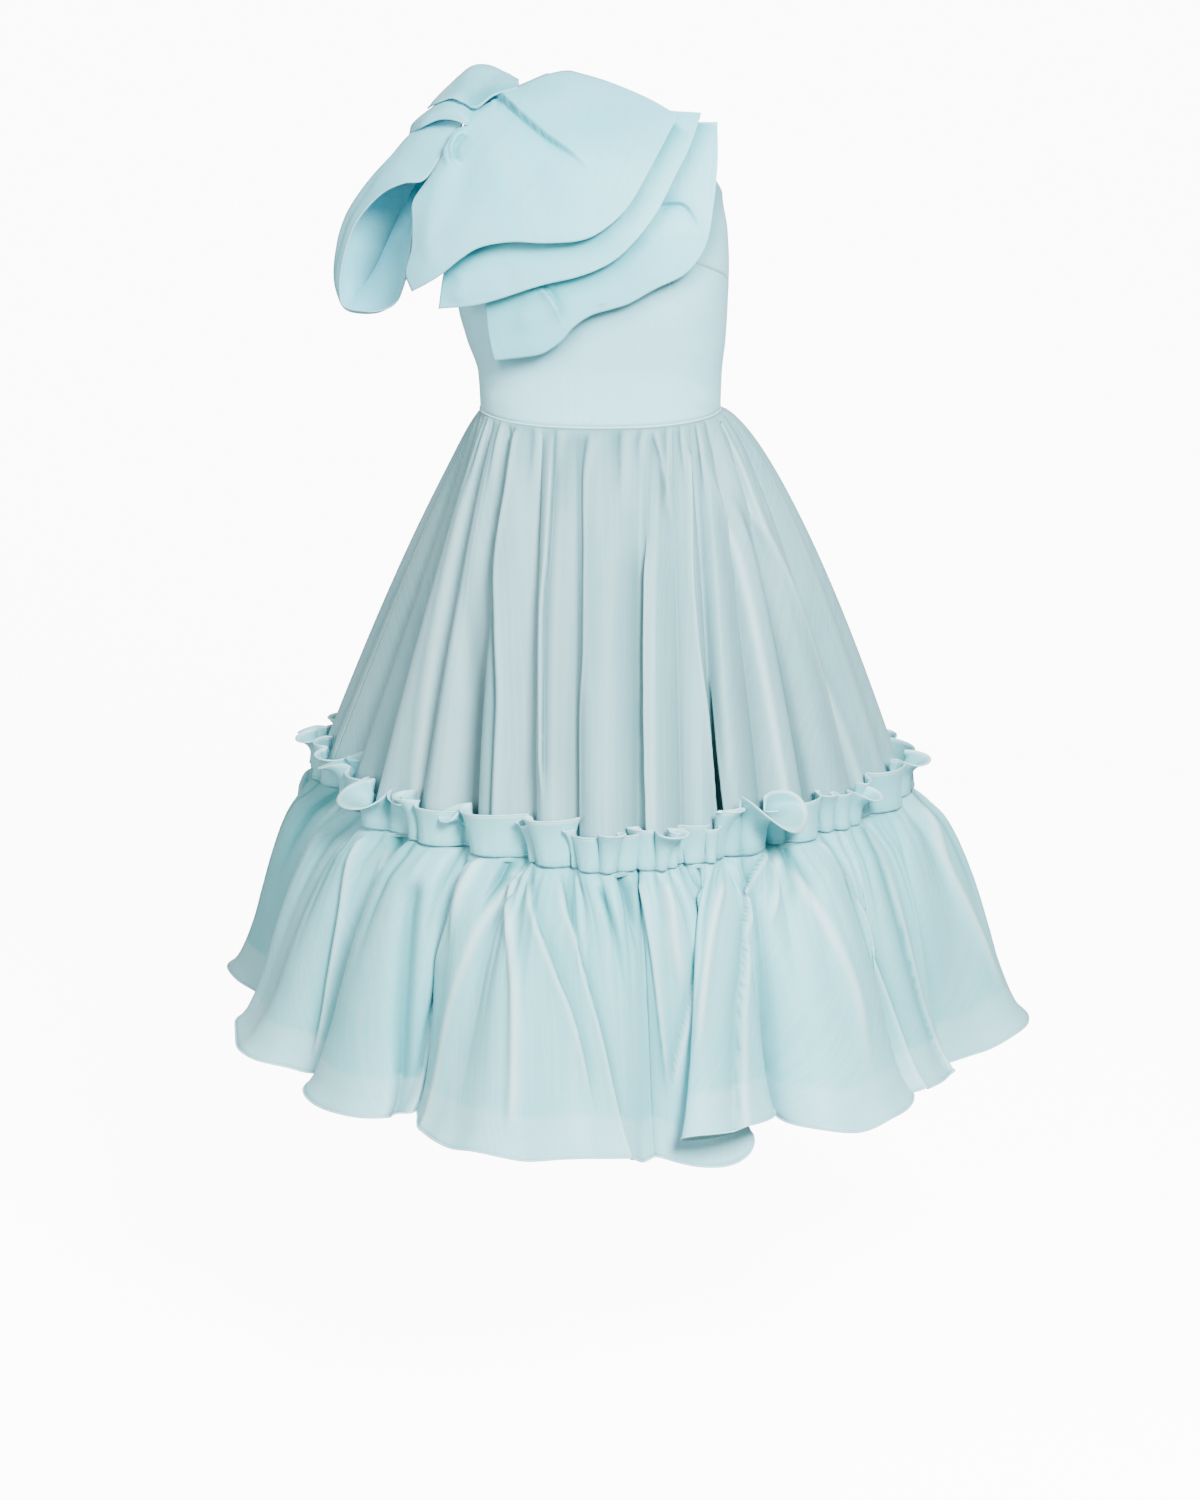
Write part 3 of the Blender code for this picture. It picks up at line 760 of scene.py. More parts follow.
class NodeTool:
    """A geometry node tree with named inputs that ends in Realize Instances and Set Material."""

    def __init__(self, name: str, inputs: dict[str, float]) -> None:
        """Starts a tree.

        Args:
            name: Name of the tree.
            inputs: Names and usual values of its number inputs.
        """
        self.tree = bpy.data.node_groups.new(name, "GeometryNodeTree")
        face = self.tree.interface
        face.new_socket("Geometry", in_out="INPUT", socket_type="NodeSocketGeometry")
        self.sockets = {}
        for label, value in inputs.items():
            socket = face.new_socket(label, in_out="INPUT", socket_type="NodeSocketFloat")
            socket.default_value = value
            self.sockets[label] = socket.identifier
        socket = face.new_socket("Finish", in_out="INPUT", socket_type="NodeSocketMaterial")
        self.sockets["Finish"] = socket.identifier
        face.new_socket("Geometry", in_out="OUTPUT", socket_type="NodeSocketGeometry")
        self.start = self.tree.nodes.new("NodeGroupInput")
        self.end = self.tree.nodes.new("NodeGroupOutput")

    def node(
        self, kind: str, inputs: dict[str | int, object] | None = None, **settings: object
    ) -> Socket:
        """Adds a node, as add_node does, and gives its first output."""
        return add_node(self.tree, kind, inputs, **settings).outputs[0]

    def calc(self, operation: str, *values: Socket | float) -> Socket:
        """Result of a sum on numbers or sockets."""
        return self.node("ShaderNodeMath", dict(enumerate(values)), operation=operation)

    def even_line(self, step: str) -> Socket:
        """The piece's line with points at even steps.

        Args:
            step: Name of the input that says how far apart they are.

        Returns:
            The curve's socket.
        """
        line = self.node("GeometryNodeMeshToCurve", {0: self.start.outputs["Geometry"]})
        inputs = {"Curve": line, "Length": self.start.outputs[step]}
        return self.node("GeometryNodeResampleCurve", inputs, mode="LENGTH")

    def close(self, geometry: Socket) -> None:
        """Ends the tree with what it has made."""
        inputs = {
            "Geometry": self.node("GeometryNodeRealizeInstances", {0: geometry}),
            "Material": self.start.outputs["Finish"],
        }
        self.tree.links.new(self.node("GeometryNodeSetMaterial", inputs), self.end.inputs[0])

    def add_to(self, piece: bpy.types.Object, finish: bpy.types.Material, **values: float) -> None:
        """Puts the tree on a piece.

        Args:
            piece: The piece that it works on.
            finish: Material that it sets.
            values: Inputs that differ from the usual ones, with _ for a space.
        """
        modifier = piece.modifiers.new(self.tree.name, "NODES")
        modifier.node_group = self.tree
        modifier[self.sockets["Finish"]] = finish
        for label, value in values.items():
            modifier[self.sockets[label.replace("_", " ")]] = value


class GatherTool(NodeTool):
    """Fine uneven gathers that rise along a sheet's normals where it is slack."""

    def __init__(self) -> None:
        """Builds the tree."""
        super().__init__("Fine gathers", {"Gathers": 150.0, "Height": 0.002, "Seed": 0.0})
        inputs = self.start.outputs
        around, slack = (
            add_node(
                self.tree, "GeometryNodeInputNamedAttribute", {"Name": label}, data_type="FLOAT"
            ).outputs["Attribute"]
            for label in ("around", "slack")
        )
        place = self.calc("ADD", self.calc("MULTIPLY", around, inputs["Gathers"]), inputs["Seed"])
        noise = add_node(
            self.tree, "ShaderNodeTexNoise", {"Scale": 1.0, "Detail": 1.0, "W": place},
            noise_dimensions="1D",
        ).outputs["Fac"]
        ridge = self.calc("ABSOLUTE", self.calc("SUBTRACT", noise, 0.5))
        ridge = self.calc("SUBTRACT", 1.0, self.calc("MULTIPLY", ridge, 3.2))
        height = self.calc("MULTIPLY", inputs["Height"], slack)
        normal = self.node("GeometryNodeInputNormal")
        rise = {0: normal, "Scale": self.calc("MULTIPLY", ridge, height)}
        offset = self.node("ShaderNodeVectorMath", rise, operation="SCALE")
        move = {"Geometry": inputs["Geometry"], "Offset": offset}
        self.close(self.node("GeometryNodeSetPosition", move))


class StitchTool(NodeTool):
    """A row of short stitches along a line."""

    def __init__(self) -> None:
        """Builds the tree."""
        super().__init__("Stitches", {"Spacing": 0.0034, "Length": 0.0024, "Width": 0.0006})
        width, length = self.start.outputs["Width"], self.start.outputs["Length"]
        tangent = {"Vector": self.node("GeometryNodeInputTangent")}
        stitches = {
            "Points": self.even_line("Spacing"),
            "Instance": self.node("GeometryNodeMeshIcoSphere", {"Radius": 0.5, "Subdivisions": 1}),
            "Rotation": self.node("FunctionNodeAlignRotationToVector", tangent, axis="Z"),
            "Scale": self.node("ShaderNodeCombineXYZ", {"X": width, "Y": width, "Z": length}),
        }
        self.close(self.node("GeometryNodeInstanceOnPoints", stitches))


class RollTool(NodeTool):
    """A narrow rolled edge along a line."""

    def __init__(self) -> None:
        """Builds the tree."""
        super().__init__("Rolled edge", {"Radius": 0.0010, "Step": 0.004, "Sides": 6.0})
        size = {"Resolution": self.start.outputs["Sides"], "Radius": self.start.outputs["Radius"]}
        ring = self.node("GeometryNodeCurvePrimitiveCircle", size)
        tube = {"Curve": self.even_line("Step"), "Profile Curve": ring, "Fill Caps": True}
        self.close(self.node("GeometryNodeCurveToMesh", tube))


# ------------------------------------------------------------------ sheets


@dataclass
class Workroom:
    """The trees and finishes that the sheets share."""

    gathers: GatherTool = field(default_factory=GatherTool)
    stitches: StitchTool = field(default_factory=StitchTool)
    rolls: RollTool = field(default_factory=RollTool)
    bow: bpy.types.Material = field(default_factory=BOW_SATIN.material)
    bodice: bpy.types.Material = field(default_factory=BODICE_SATIN.material)
    skirt: bpy.types.Material = field(default_factory=SKIRT_SATIN.material)
    flounce: bpy.types.Material = field(default_factory=FLOUNCE_SATIN.material)
    edge: bpy.types.Material = field(default_factory=TURNED_EDGE.material)


def bake(piece: bpy.types.Object) -> None:
    """Turns a piece's modifiers into its plain mesh."""
    evaluated = piece.evaluated_get(bpy.context.evaluated_depsgraph_get())
    mesh = bpy.data.meshes.new_from_object(evaluated)
    piece.modifiers.clear()
    piece.data = mesh
    mesh.shade_smooth()


def runs(points: Array) -> tuple[Array, Array]:
    """Distances along a grid's rows and down its columns.

    Args:
        points: Rows by columns by three.

    Returns:
        How far each point lies from the first column and from the first row.
    """
    across = np.linalg.norm(np.diff(points, axis=1), axis=-1)
    down = np.linalg.norm(np.diff(points, axis=0), axis=-1)
    from_side = np.pad(np.cumsum(across, axis=1), ((0, 0), (1, 0)))
    return from_side, np.pad(np.cumsum(down, axis=0), ((1, 0), (0, 0)))


@dataclass
class Sheet:
    """A sheet of cloth as a grid of points, rows down and columns to the wearer's left.

    Attributes:
        name: Name of the piece.
        slot: Material slot; not used.
        points: Outer surface, rows by columns by three.
        finish: Its material.
        wall: Thickness of the cloth.
        closed: Whether the last column joins the first.
        marks: Values for each point, read by the finish or by the trees.
    """

    name: str
    slot: str
    points: Array
    finish: bpy.types.Material
    wall: float
    closed: bool = False
    marks: dict[str, Array] = field(default_factory=dict)
    piece: bpy.types.Object | None = None

    def flat_size(self) -> tuple[float, float, float]:
        """The cut that the sheet needs.

        Returns:
            Its width, its length and its area, in metres.
        """
        points = self.points
        if self.closed:
            points = np.concatenate([points, points[:, :1]], axis=1)
        across = np.linalg.norm(np.diff(points, axis=1), axis=-1)
        down = np.linalg.norm(np.diff(points, axis=0), axis=-1)
        width = float(across.sum(1).max())
        length = float(np.quantile(down.sum(0), 0.95))
        near, far = points[:-1, :-1], points[1:, 1:]
        below, beside = points[1:, :-1], points[:-1, 1:]
        halves = (np.cross(below - near, beside - near), np.cross(below - far, beside - far))
        area = float(sum(np.linalg.norm(half, axis=-1) for half in halves).sum() / 2)
        return width, length, float(np.clip(area, 0.31 * width * length, width * length))

    def _weave_places(self) -> Array:
        """Distances along the cloth for the weave.

        Returns:
            Across and down in metres, for each point.
        """
        across, down = runs(self.points)
        across -= across[:, across.shape[1] // 2, None]
        return np.stack([across, -down], axis=-1)

    def build(self) -> bpy.types.Object:
        """Makes the sheet's mesh, with its marks and its weave places.

        Returns:
            The piece, still without its wall.
        """
        rows, columns = self.points.shape[:2]
        number = np.arange(rows * columns).reshape(rows, columns)
        if self.closed:
            number = np.concatenate([number, number[:, :1]], axis=1)
        corners = [number[:-1, :-1], number[1:, :-1], number[1:, 1:], number[:-1, 1:]]
        faces = np.stack(corners, axis=-1).reshape(-1, 4)
        mesh = bpy.data.meshes.new(self.name)
        mesh.vertices.add(rows * columns)
        mesh.vertices.foreach_set("co", self.points.reshape(-1).astype(np.float32))
        mesh.loops.add(faces.size)
        mesh.loops.foreach_set("vertex_index", faces.reshape(-1).astype(np.int32))
        mesh.polygons.add(len(faces))
        mesh.polygons.foreach_set("loop_start", (np.arange(len(faces)) * 4).astype(np.int32))
        mesh.update(calc_edges=True)
        mesh.validate()
        places = self._weave_places().reshape(-1, 2)[faces.reshape(-1)]
        layer = mesh.uv_layers.new(name="cloth")
        layer.data.foreach_set("uv", places.reshape(-1).astype(np.float32))
        for label, values in self.marks.items():
            kept = mesh.attributes.new(label, "FLOAT", "POINT")
            values = np.broadcast_to(values, self.points.shape[:2])
            kept.data.foreach_set("value", values.reshape(-1).astype(np.float32))
        mesh.materials.append(self.finish)
        mesh.shade_smooth()
        self.piece = bpy.data.objects.new(self.name, mesh)
        bpy.context.scene.collection.objects.link(self.piece)
        return self.piece

    def give_wall(self) -> None:
        """Gives the sheet its thickness, inwards, and turns all into a plain mesh."""
        solid = self.piece.modifiers.new("Wall", "SOLIDIFY")
        solid.thickness = self.wall
        solid.offset = -1
        bake(self.piece)

    def sew_in(
        self,
        node: str,
        held: str,
        rests_on: list[str],
        extras: list[bpy.types.Object] | None = None,
    ) -> None:
        """Puts the finished sheet in the frame in the place of its solid.

        Args:
            node: The solid that it stands for.
            held: How the cloth is held; not used.
            rests_on: What it lies on or hangs from; not used.
            extras: Separate pieces on it, such as stitches; not used.
        """
        width, length, area = self.flat_size()
        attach(self.piece, "root")
        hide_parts(node)
        LOG.info("%s: cut %.3f x %.3f m, %.4f m2", self.name, width, length, area)


def line_piece(
    name: str,
    points: Array,
    tool: NodeTool,
    finish: bpy.types.Material,
    slot: str,
    **values: float,
) -> bpy.types.Object:
    """Makes a piece that follows a line, such as stitches or a rolled edge.

    Args:
        name: Name of the piece.
        points: Points along the line.
        tool: The tree that makes it.
        finish: Its material.
        slot: Material slot; not used.
        values: The tree's inputs that differ from its usual ones.

    Returns:
        The finished piece.
    """
    mesh = bpy.data.meshes.new(name)
    count = len(points)
    mesh.from_pydata(points.tolist(), [(n, n + 1) for n in range(count - 1)], [])
    piece = bpy.data.objects.new(name, mesh)
    bpy.context.scene.collection.objects.link(piece)
    tool.add_to(piece, finish, **values)
    bake(piece)
    if "cloth" not in piece.data.uv_layers:
        piece.data.uv_layers.new(name="cloth")
    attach(piece, "root")
    return piece


def edge_mark(points: Array, reach: float, sides: str) -> Array:
    """How near each point lies to the named edges of its sheet.

    Args:
        points: The sheet's points.
        reach: Distance in metres over which the mark fades.
        sides: Letters of the edges: t, b, l and r.

    Returns:
        1 at the edges, 0 from the reach inwards.
    """
    from_left, from_top = runs(points)
    distances = {
        "t": from_top, "b": from_top[-1:] - from_top,
        "r": from_left, "l": from_left[:, -1:] - from_left,
    }
    nearest = np.full(points.shape[:2], 1.0)
    for side in sides:
        nearest = np.minimum(nearest, distances[side])
    return 1 - soft_step(nearest, reach * 0.35, reach)


# ------------------------------------------------------------------ bodice


@dataclass
class Bodice:
    """Fitted bodice: front, bust piece above its curved seam and back."""

    torso: Torso
    room: Workroom
    # Lines along which the bow's lowest leaf leaves painted shade on the bodice.
    bow_shade: Folds
    front_top: Rows = (
        (-1, 200), (-0.92, 205), (-0.84, 220), (-0.77, 250), (-0.69, 302), (-0.62, 345),
        (-0.50, 372), (-0.20, 374), (0.0, 356), (0.25, 327), (0.50, 290), (0.75, 256), (1, 236),
    )
    back_top: Rows = (
        (-1, 200), (-0.92, 205), (-0.84, 220), (-0.77, 250), (-0.69, 302), (-0.62, 345),
        (-0.50, 372), (-0.20, 374), (0.0, 330), (0.25, 300), (0.50, 273), (0.75, 250), (1, 236),
    )
    cup_seam: Rows = ((0.30, 205), (0.45, 172), (0.62, 161), (0.80, 151), (1, 134))
    cup_step: float = 0.012
    edge_reach: float = 0.0035
    stitch_lift: float = 0.0004
    front_columns: int = 96
    cup_columns: int = 54
    back_columns: int = 130
    rows: int = 22
    cup_rows: int = 34
    back_rows: int = 40
    break_z: float = 0.120
    top_crowding: float = 1.7
    wall: float = 0.0014
    # Wrinkles in front view: x and z in mm, half width and depth in mm.
    front_folds: Folds = (
        Fold(RIDGE, ((-134, 6), (-112, 14), (-84, 10)), 7, 1.3, 0.3, 0.6),
        Fold(TROUGH, ((-134, 20), (-110, 32), (-78, 34)), 8, 1.1, 0.3, 0.6),
        Fold(RIDGE, ((-136, 44), (-112, 60), (-86, 92)), 9, 1.1, 0.3, 0.6),
        Fold(RIDGE, ((134, 4), (112, 16), (82, 14)), 7, 1.5, 0.3, 0.6),
        Fold(TROUGH, ((136, 18), (114, 34), (80, 42)), 8, 1.2, 0.3, 0.6),
        Fold(RIDGE, ((137, 40), (118, 60), (92, 96)), 9, 1.3, 0.3, 0.6),
        Fold(TROUGH, ((140, 74), (120, 92), (98, 120)), 9, 1.0, 0.3, 0.6),
        Fold(TROUGH, ((-40, -6), (-32, 40), (-30, 96)), 12, 0.8, 0.3, 0.6),
        Fold(RIDGE, ((36, -6), (40, 40), (46, 90)), 13, 0.9, 0.3, 0.6),
    )
    back_folds: Folds = (
        Fold(RIDGE, ((-134, 8), (-108, 18), (-76, 14)), 8, 1.4, 0.3, 0.6),
        Fold(TROUGH, ((-136, 26), (-110, 40), (-74, 46)), 9, 1.2, 0.3, 0.6),
        Fold(RIDGE, ((-138, 56), (-112, 76), (-84, 104)), 10, 1.2, 0.3, 0.6),
        Fold(RIDGE, ((134, 8), (108, 20), (78, 16)), 8, 1.4, 0.3, 0.6),
        Fold(TROUGH, ((136, 28), (112, 44), (80, 50)), 9, 1.2, 0.3, 0.6),
        Fold(RIDGE, ((-60, 150), (-20, 176), (30, 190)), 16, 1.0, 0.3, 0.6),
    )

    def _panel(self, side: int, across: Array, levels: tuple, rows: tuple) -> Array:
        """Grid of a panel.

        Args:
            side: -1 front, 1 back.
            across: Places across it.
            levels: Heights from its top edge down.
            rows: Rows between each two levels.

        Returns:
            The panel's points.
        """
        heights = [levels[0] + 0 * across]
        crowding = self.top_crowding
        for high, low, count in zip(levels, levels[1:], rows):
            heights += [high + (low - high) * (n / count) ** crowding for n in range(1, count + 1)]
            crowding = 1
        z = np.stack([height + 0 * across for height in heights])
        return self.torso.bodice_point(np.broadcast_to(across, z.shape), z, side)

    def _sheet(self, name: str, points: Array, folds: Folds, under: Folds, edges: str) -> Sheet:
        """A bodice sheet with its wrinkles, a painted highlight along its turned edges and painted
        shade under the bow.

        Args:
            name: Name of the piece.
            points: Its smooth surface.
            folds: Its wrinkles.
            under: Lines of the bow's edges that lie over it.
            edges: Letters of its turned edges.

        Returns:
            The sheet, not yet built.
        """
        x, z = points[..., 0] / MM, points[..., 2] / MM
        rise = sum((fold.rise(x, z) for fold in folds), 0 * x)
        shade = sum((fold.shade(x, z) for fold in under), 0 * x)
        # Painted highlight along the turned edges and painted shade under the bow.
        marks = {
            Mark.EDGE.value: 0.7 * edge_mark(points, self.edge_reach, edges),
            Mark.HOLLOW.value: np.clip(shade, 0, 1),
        }
        points = points + grid_normals(points, False) * rise[..., None]
        return Sheet(name, "bodice_cloth", points, self.room.bodice, self.wall, marks=marks)

    def build(self) -> None:
        """Builds the three bodice sheets with their seams."""
        start = self.cup_seam[0][0]
        main_part = np.linspace(-1, start - self.cup_step, self.front_columns)
        under_cup = np.linspace(start, 1, self.cup_columns)
        across = np.concatenate([main_part, under_cup])
        tops = (table(self.front_top, main_part), table(self.cup_seam, under_cup))
        high = np.concatenate(tops) * MM
        high[len(main_part):] -= self.torso.seam_gap
        levels = (high, self.break_z, self.torso.waist_z(across))
        points = self._panel(-1, across, levels, (2 * self.rows, self.rows))
        front = self._sheet("bodice_front_cloth", points, self.front_folds, self.bow_shade, "b")
        across = np.concatenate([[start + self.cup_step], under_cup[1:]])
        low, high = table(self.cup_seam, across) * MM, table(self.front_top, across) * MM
        points = self._panel(-1, across, (high, low), (self.cup_rows,))
        cup = self._sheet("bodice_cup_cloth", points, (), self.bow_shade, "tb")
        across = np.linspace(-1, 1, self.back_columns)
        levels = (table(self.back_top, across) * MM, self.break_z, 0.0)
        points = self._panel(1, across, levels, (self.back_rows, self.rows))[:, ::-1]
        back = self._sheet("bodice_back_cloth", points, self.back_folds, (), "tb")
        for sheet in (front, cup, back):
            sheet.build()
            sheet.give_wall()
        bust = cup.points[-1] + grid_normals(cup.points, False)[-1] * self.stitch_lift
        bust_line = line_piece(
            "bust_seam_stitches", bust[1:], self.room.stitches, self.room.edge, "bodice_cloth",
            Spacing=0.0030, Length=0.0020, Width=0.0004,
        )
        waist = np.concatenate([front.points[-1], back.points[-1], front.points[-1, :1]])
        waist_line = line_piece(
            "waist_seam_piping", waist, self.room.rolls, self.room.edge, "bodice_cloth",
            Radius=0.0011,
        )
        front.sew_in("bodice_front", "hung", [], [waist_line])
        cup.sew_in("bodice_cup_left", "hung", [front.piece.name], [bust_line])
        back.sew_in("bodice_back", "hung", [front.piece.name])


# ------------------------------------------------------------------ bow


@dataclass
class Leaf:
    """One bow leaf, drawn in front view: x, z and how far its edge stands off the body, in mm."""

    name: str
    node: str
    upper: Rows
    lower: Rows
    right: Rows
    puff: float
    folds: Folds = ()
    stains: Rows = ()
    # Spots of painted shade: x, z, their half widths and strength.
    shaded: Rows = ()

    def edge_shade(self) -> Fold:
        """Line of shade that the leaf's lower edge leaves on the cloth below it."""
        return Fold(TROUGH, tuple(row[:2] for row in self.lower), 6, 0, 0.02, 0.02, 15.0)

    def points(self, torso: Torso, columns: int, rows: int) -> tuple[Array, Array]:
        """The leaf's outer surface.

        Args:
            torso: The body that it lies over.
            columns: Columns of the grid.
            rows: Rows of the grid.

        Returns:
            Its points and the x and z in mm at which its creases are read.
        """
        u = np.linspace(0, 1, columns)[None, :, None]
        v = np.linspace(0, 1, rows)[:, None, None]
        a = even_curve(self.upper, columns)[None]
        b = even_curve(self.lower, columns)[None]
        c = even_curve(self.right, rows)[:, None]
        d = even_curve([self.upper[-1], self.lower[-1]], rows)[:, None]
        ends = (1 - v) * ((1 - u) * a[:, :1] + u * a[:, -1:])
        ends = ends + v * ((1 - u) * b[:, :1] + u * b[:, -1:])
        grid = (1 - v) * a + v * b + (1 - u) * c + u * d - ends
        swell = np.sin(math.pi * u[..., 0]) * np.sin(math.pi * v[..., 0])
        stand = grid[..., 2] + self.puff * swell
        x, z = grid[..., 0] * MM, grid[..., 1] * MM
        points = np.stack([x, torso.chest_y(x, z) - stand * MM, z], axis=-1)
        rise = sum((fold.rise(grid[..., 0], grid[..., 1]) for fold in self.folds), 0 * x)
        return points + grid_normals(points, False) * rise[..., None], grid[..., :2]

    def shade(self, places: Array, above: Folds) -> Array:
        """How much painted shade each place gets in a crease, under a leaf's edge and in its shaded
        spots.

        Args:
            places: x and z of each place, in mm.
            above: Lines of shade of the leaves that lie over this one.

        Returns:
            From 0 on open cloth to 1.
        """
        lines = tuple(fold for fold in self.folds if fold.kind is not TROUGH) + above
        shades = (line.shade(places[..., 0], places[..., 1]) for line in lines)
        dull = spots(self.shaded, places[..., 0], places[..., 1])
        return np.clip(sum(shades, dull), 0, 1)


@dataclass
class Bow:
    """Layered shoulder bow: three leaves, the loop over the arm, the knot roll and the crown."""

    torso: Torso
    room: Workroom
    wall: float = 0.0020
    edge_reach: float = 0.0030
    tight_reach: float = 0.012
    # Columns and rows of the sheets.
    leaf_grid: tuple[int, int] = (150, 84)
    loop_grid: tuple[int, int] = (150, 50)
    roll_grid: tuple[int, int] = (90, 26)
    crown_grid: tuple[int, int] = (84, 46)
    leaves: tuple[Leaf, ...] = (
        Leaf(
            "bow_leaf_top_cloth", "bow_leaf_top",
            upper=(
                (-146, 308, 8), (-136, 330, 4), (-117, 344, 3), (-90, 356, 3), (-64, 369, 4),
                (-38, 375, 4), (-20, 372, 4), (11, 363, 5), (49, 348, 9), (77, 333, 13),
                (84, 326, 14),
            ),
            lower=(
                (-206, 140, 24), (-190, 149, 29), (-173, 160, 33), (-151, 178, 37), (-129, 191, 40),
                (-96, 197, 42), (-59, 196, 43), (-21, 199, 43), (5, 211, 41), (32, 236, 36),
                (59, 282, 27), (76, 313, 19), (83, 323, 15),
            ),
            right=(
                (-146, 308, 8), (-166, 291, 12), (-185, 263, 14), (-204, 237, 15), (-205, 214, 16),
                (-206, 186, 18), (-213, 160, 21), (-206, 140, 24),
            ),
            puff=12,
            folds=(
                Fold(LAP_LEFT, ((-116, 347), (-106, 345), (-85, 328), (-57, 306), (-29, 288),
                    (-9, 269)), 18, 9.0, 0.03, 0.4, 4.5),
                Fold(LAP, ((-146, 310), (-153, 303), (-158, 294), (-156, 284), (-149, 277)),
                    8, 8.0, 0.05, 0.25, 4.5),
                Fold(RIDGE, ((-152, 310), (-164, 300), (-166, 284), (-158, 270)), 5, 2.5, 0.1, 0.3),
                Fold(RIDGE, ((-160, 284), (-176, 250), (-186, 200), (-184, 160)), 16, 2.6),
                Fold(TROUGH, ((-140, 296), (-150, 250), (-156, 205)), 18, 2.0, 0.3, 0.5),
                Fold(RIDGE, ((-128, 316), (-112, 272), (-110, 222)), 20, 2.2, 0.3, 0.5),
                Fold(TROUGH, ((-84, 300), (-66, 256), (-60, 214)), 22, 1.8, 0.3, 0.5),
            ),
            # Painted shade over the leaf's upper part.
            shaded=(
                (6, 322, 62, 26, 0.26), (-64, 352, 40, 15, 0.16), (52, 292, 36, 28, 0.16),
                (24, 236, 34, 24, 0.12),
            ),
        ),
        Leaf(
            "bow_leaf_second_cloth", "bow_leaf_second",
            upper=(
                (-132, 300, 5), (-100, 336, 4), (-60, 354, 5), (-20, 354, 5.2), (20, 346, 5.6),
                (55, 337, 5), (78, 333, 6), (95, 332, 7), (110, 331, 8),
            ),
            lower=(
                (-177, 121, 13), (-130, 128, 22), (-66, 149, 28), (-21, 160, 29), (13, 175, 28),
                (39, 198, 26), (62, 228, 23), (81, 264, 18), (97, 295, 13), (109, 327, 9),
            ),
            right=(
                (-132, 300, 5), (-146, 250, 6), (-160, 200, 7), (-171, 160, 9), (-177, 121, 13),
            ),
            puff=7,
            folds=(
                Fold(RIDGE, ((-150, 168), (-152, 146), (-160, 126)), 12, 1.8, 0.3, 0.3),
                Fold(TROUGH, ((-104, 176), (-100, 156), (-106, 138)), 12, 1.4, 0.3, 0.3),
                Fold(RIDGE, ((60, 300), (52, 262), (34, 226)), 14, 1.6, 0.4, 0.4),
            ),
        ),
        Leaf(
            "bow_leaf_third_cloth", "bow_leaf_third",
            upper=(
                (-122, 286, 3.6), (-80, 314, 1), (-40, 324, -0.5), (0, 324, -0.5), (40, 320, 1),
                (75, 321, 4), (100, 321, 4.7), (115, 321, 5.5), (128, 321, 5),
            ),
            lower=(
                (-117, 64, 8), (-88, 68, 13), (-64, 73, 17), (-43, 87, 19), (-29, 103, 19),
                (-10, 116, 17), (13, 123, 16), (32, 129, 15), (61, 145, 13), (89, 158, 11),
                (105, 173, 9), (117, 196, 7), (124, 237, 6), (128, 280, 5), (128, 315, 5),
            ),
            right=(
                (-122, 286, 3.6), (-125, 250, 4), (-128, 200, 4), (-126, 140, 5), (-123, 95, 6),
                (-117, 64, 8),
            ),
            puff=3,
            folds=(
                Fold(RIDGE, ((-66, 150), (-80, 122), (-88, 92)), 14, 2.6, 0.3, 0.4),
                Fold(LAP, ((-68, 152), (-54, 138), (-44, 122), (-40, 104)), 12, 6.5, 0.2, 0.4, 6.0),
                Fold(LAP_LEFT, ((62, 234), (88, 235), (100, 224), (108, 206)),
                    10, 4.5, 0.1, 0.5, 4.0),
                Fold(RIDGE, ((60, 220), (50, 184), (20, 150)), 16, 2.0, 0.4, 0.4),
            ),
            stains=((1, 127, 3.2, 2.4, 0.75), (5, 129, 2.0, 1.6, 0.5)),
        ),
    )
    loop_sections: tuple[Rows, ...] = (
        (
            (-148, -70, 322), (-171, -84, 288), (-192, -88, 260), (-214, -80, 256),
            (-237, -68, 246), (-258, -56, 227), (-274, -46, 204), (-286, -38, 170),
            (-291, -32, 138), (-287, -33, 117), (-264, -44, 112), (-241, -56, 114),
            (-222, -66, 128), (-211, -76, 166), (-202, -80, 215), (-180, -76, 252),
        ),
        (
            (-152, -56, 322), (-177, -56, 314), (-200, -46, 306), (-222, -44, 283),
            (-246, -40, 259), (-267, -36, 230), (-282, -30, 203), (-293, -24, 168),
            (-296, -20, 136), (-286, -22, 113), (-262, -30, 109), (-240, -38, 116),
            (-221, -46, 138), (-208, -52, 176), (-196, -54, 220), (-176, -54, 266),
        ),
        (
            (-158, -18, 328), (-182, -18, 322), (-206, -13, 306), (-229, -10, 281), (-252, -6, 256),
            (-272, -2, 231), (-286, 0, 203), (-294, 0, 170), (-295, 0, 140), (-285, -4, 120),
            (-264, -10, 124), (-244, -16, 142), (-226, -22, 166), (-210, -24, 196),
            (-196, -22, 232), (-178, -18, 276),
        ),
        (
            (-161, 32, 318), (-172, 40, 304), (-181, 46, 286), (-190, 50, 264), (-202, 52, 240),
            (-215, 52, 215), (-229, 50, 190), (-244, 46, 166), (-259, 40, 145), (-266, 30, 134),
            (-258, 22, 146), (-246, 20, 168), (-234, 20, 194), (-220, 20, 222), (-204, 18, 250),
            (-176, 10, 286),
        ),
    )
    roll_sections: tuple[Rows, ...] = (
        (
            (-122, -60, 338), (-136, -68, 340), (-149, -56, 344), (-164, -44, 347),
            (-178, -29, 341), (-181, -4, 337), (-177, 24, 338), (-165, 50, 337),
        ),
        (
            (-126, -66, 322), (-141, -86, 324), (-154, -79, 332), (-172, -66, 334),
            (-193, -48, 326), (-207, -12, 318), (-202, 30, 313), (-176, 62, 306),
        ),
        (
            (-130, -68, 314), (-145, -88, 318), (-159, -81, 323), (-177, -68, 323),
            (-198, -50, 314), (-212, -14, 306), (-207, 32, 301), (-180, 64, 297),
        ),
    )
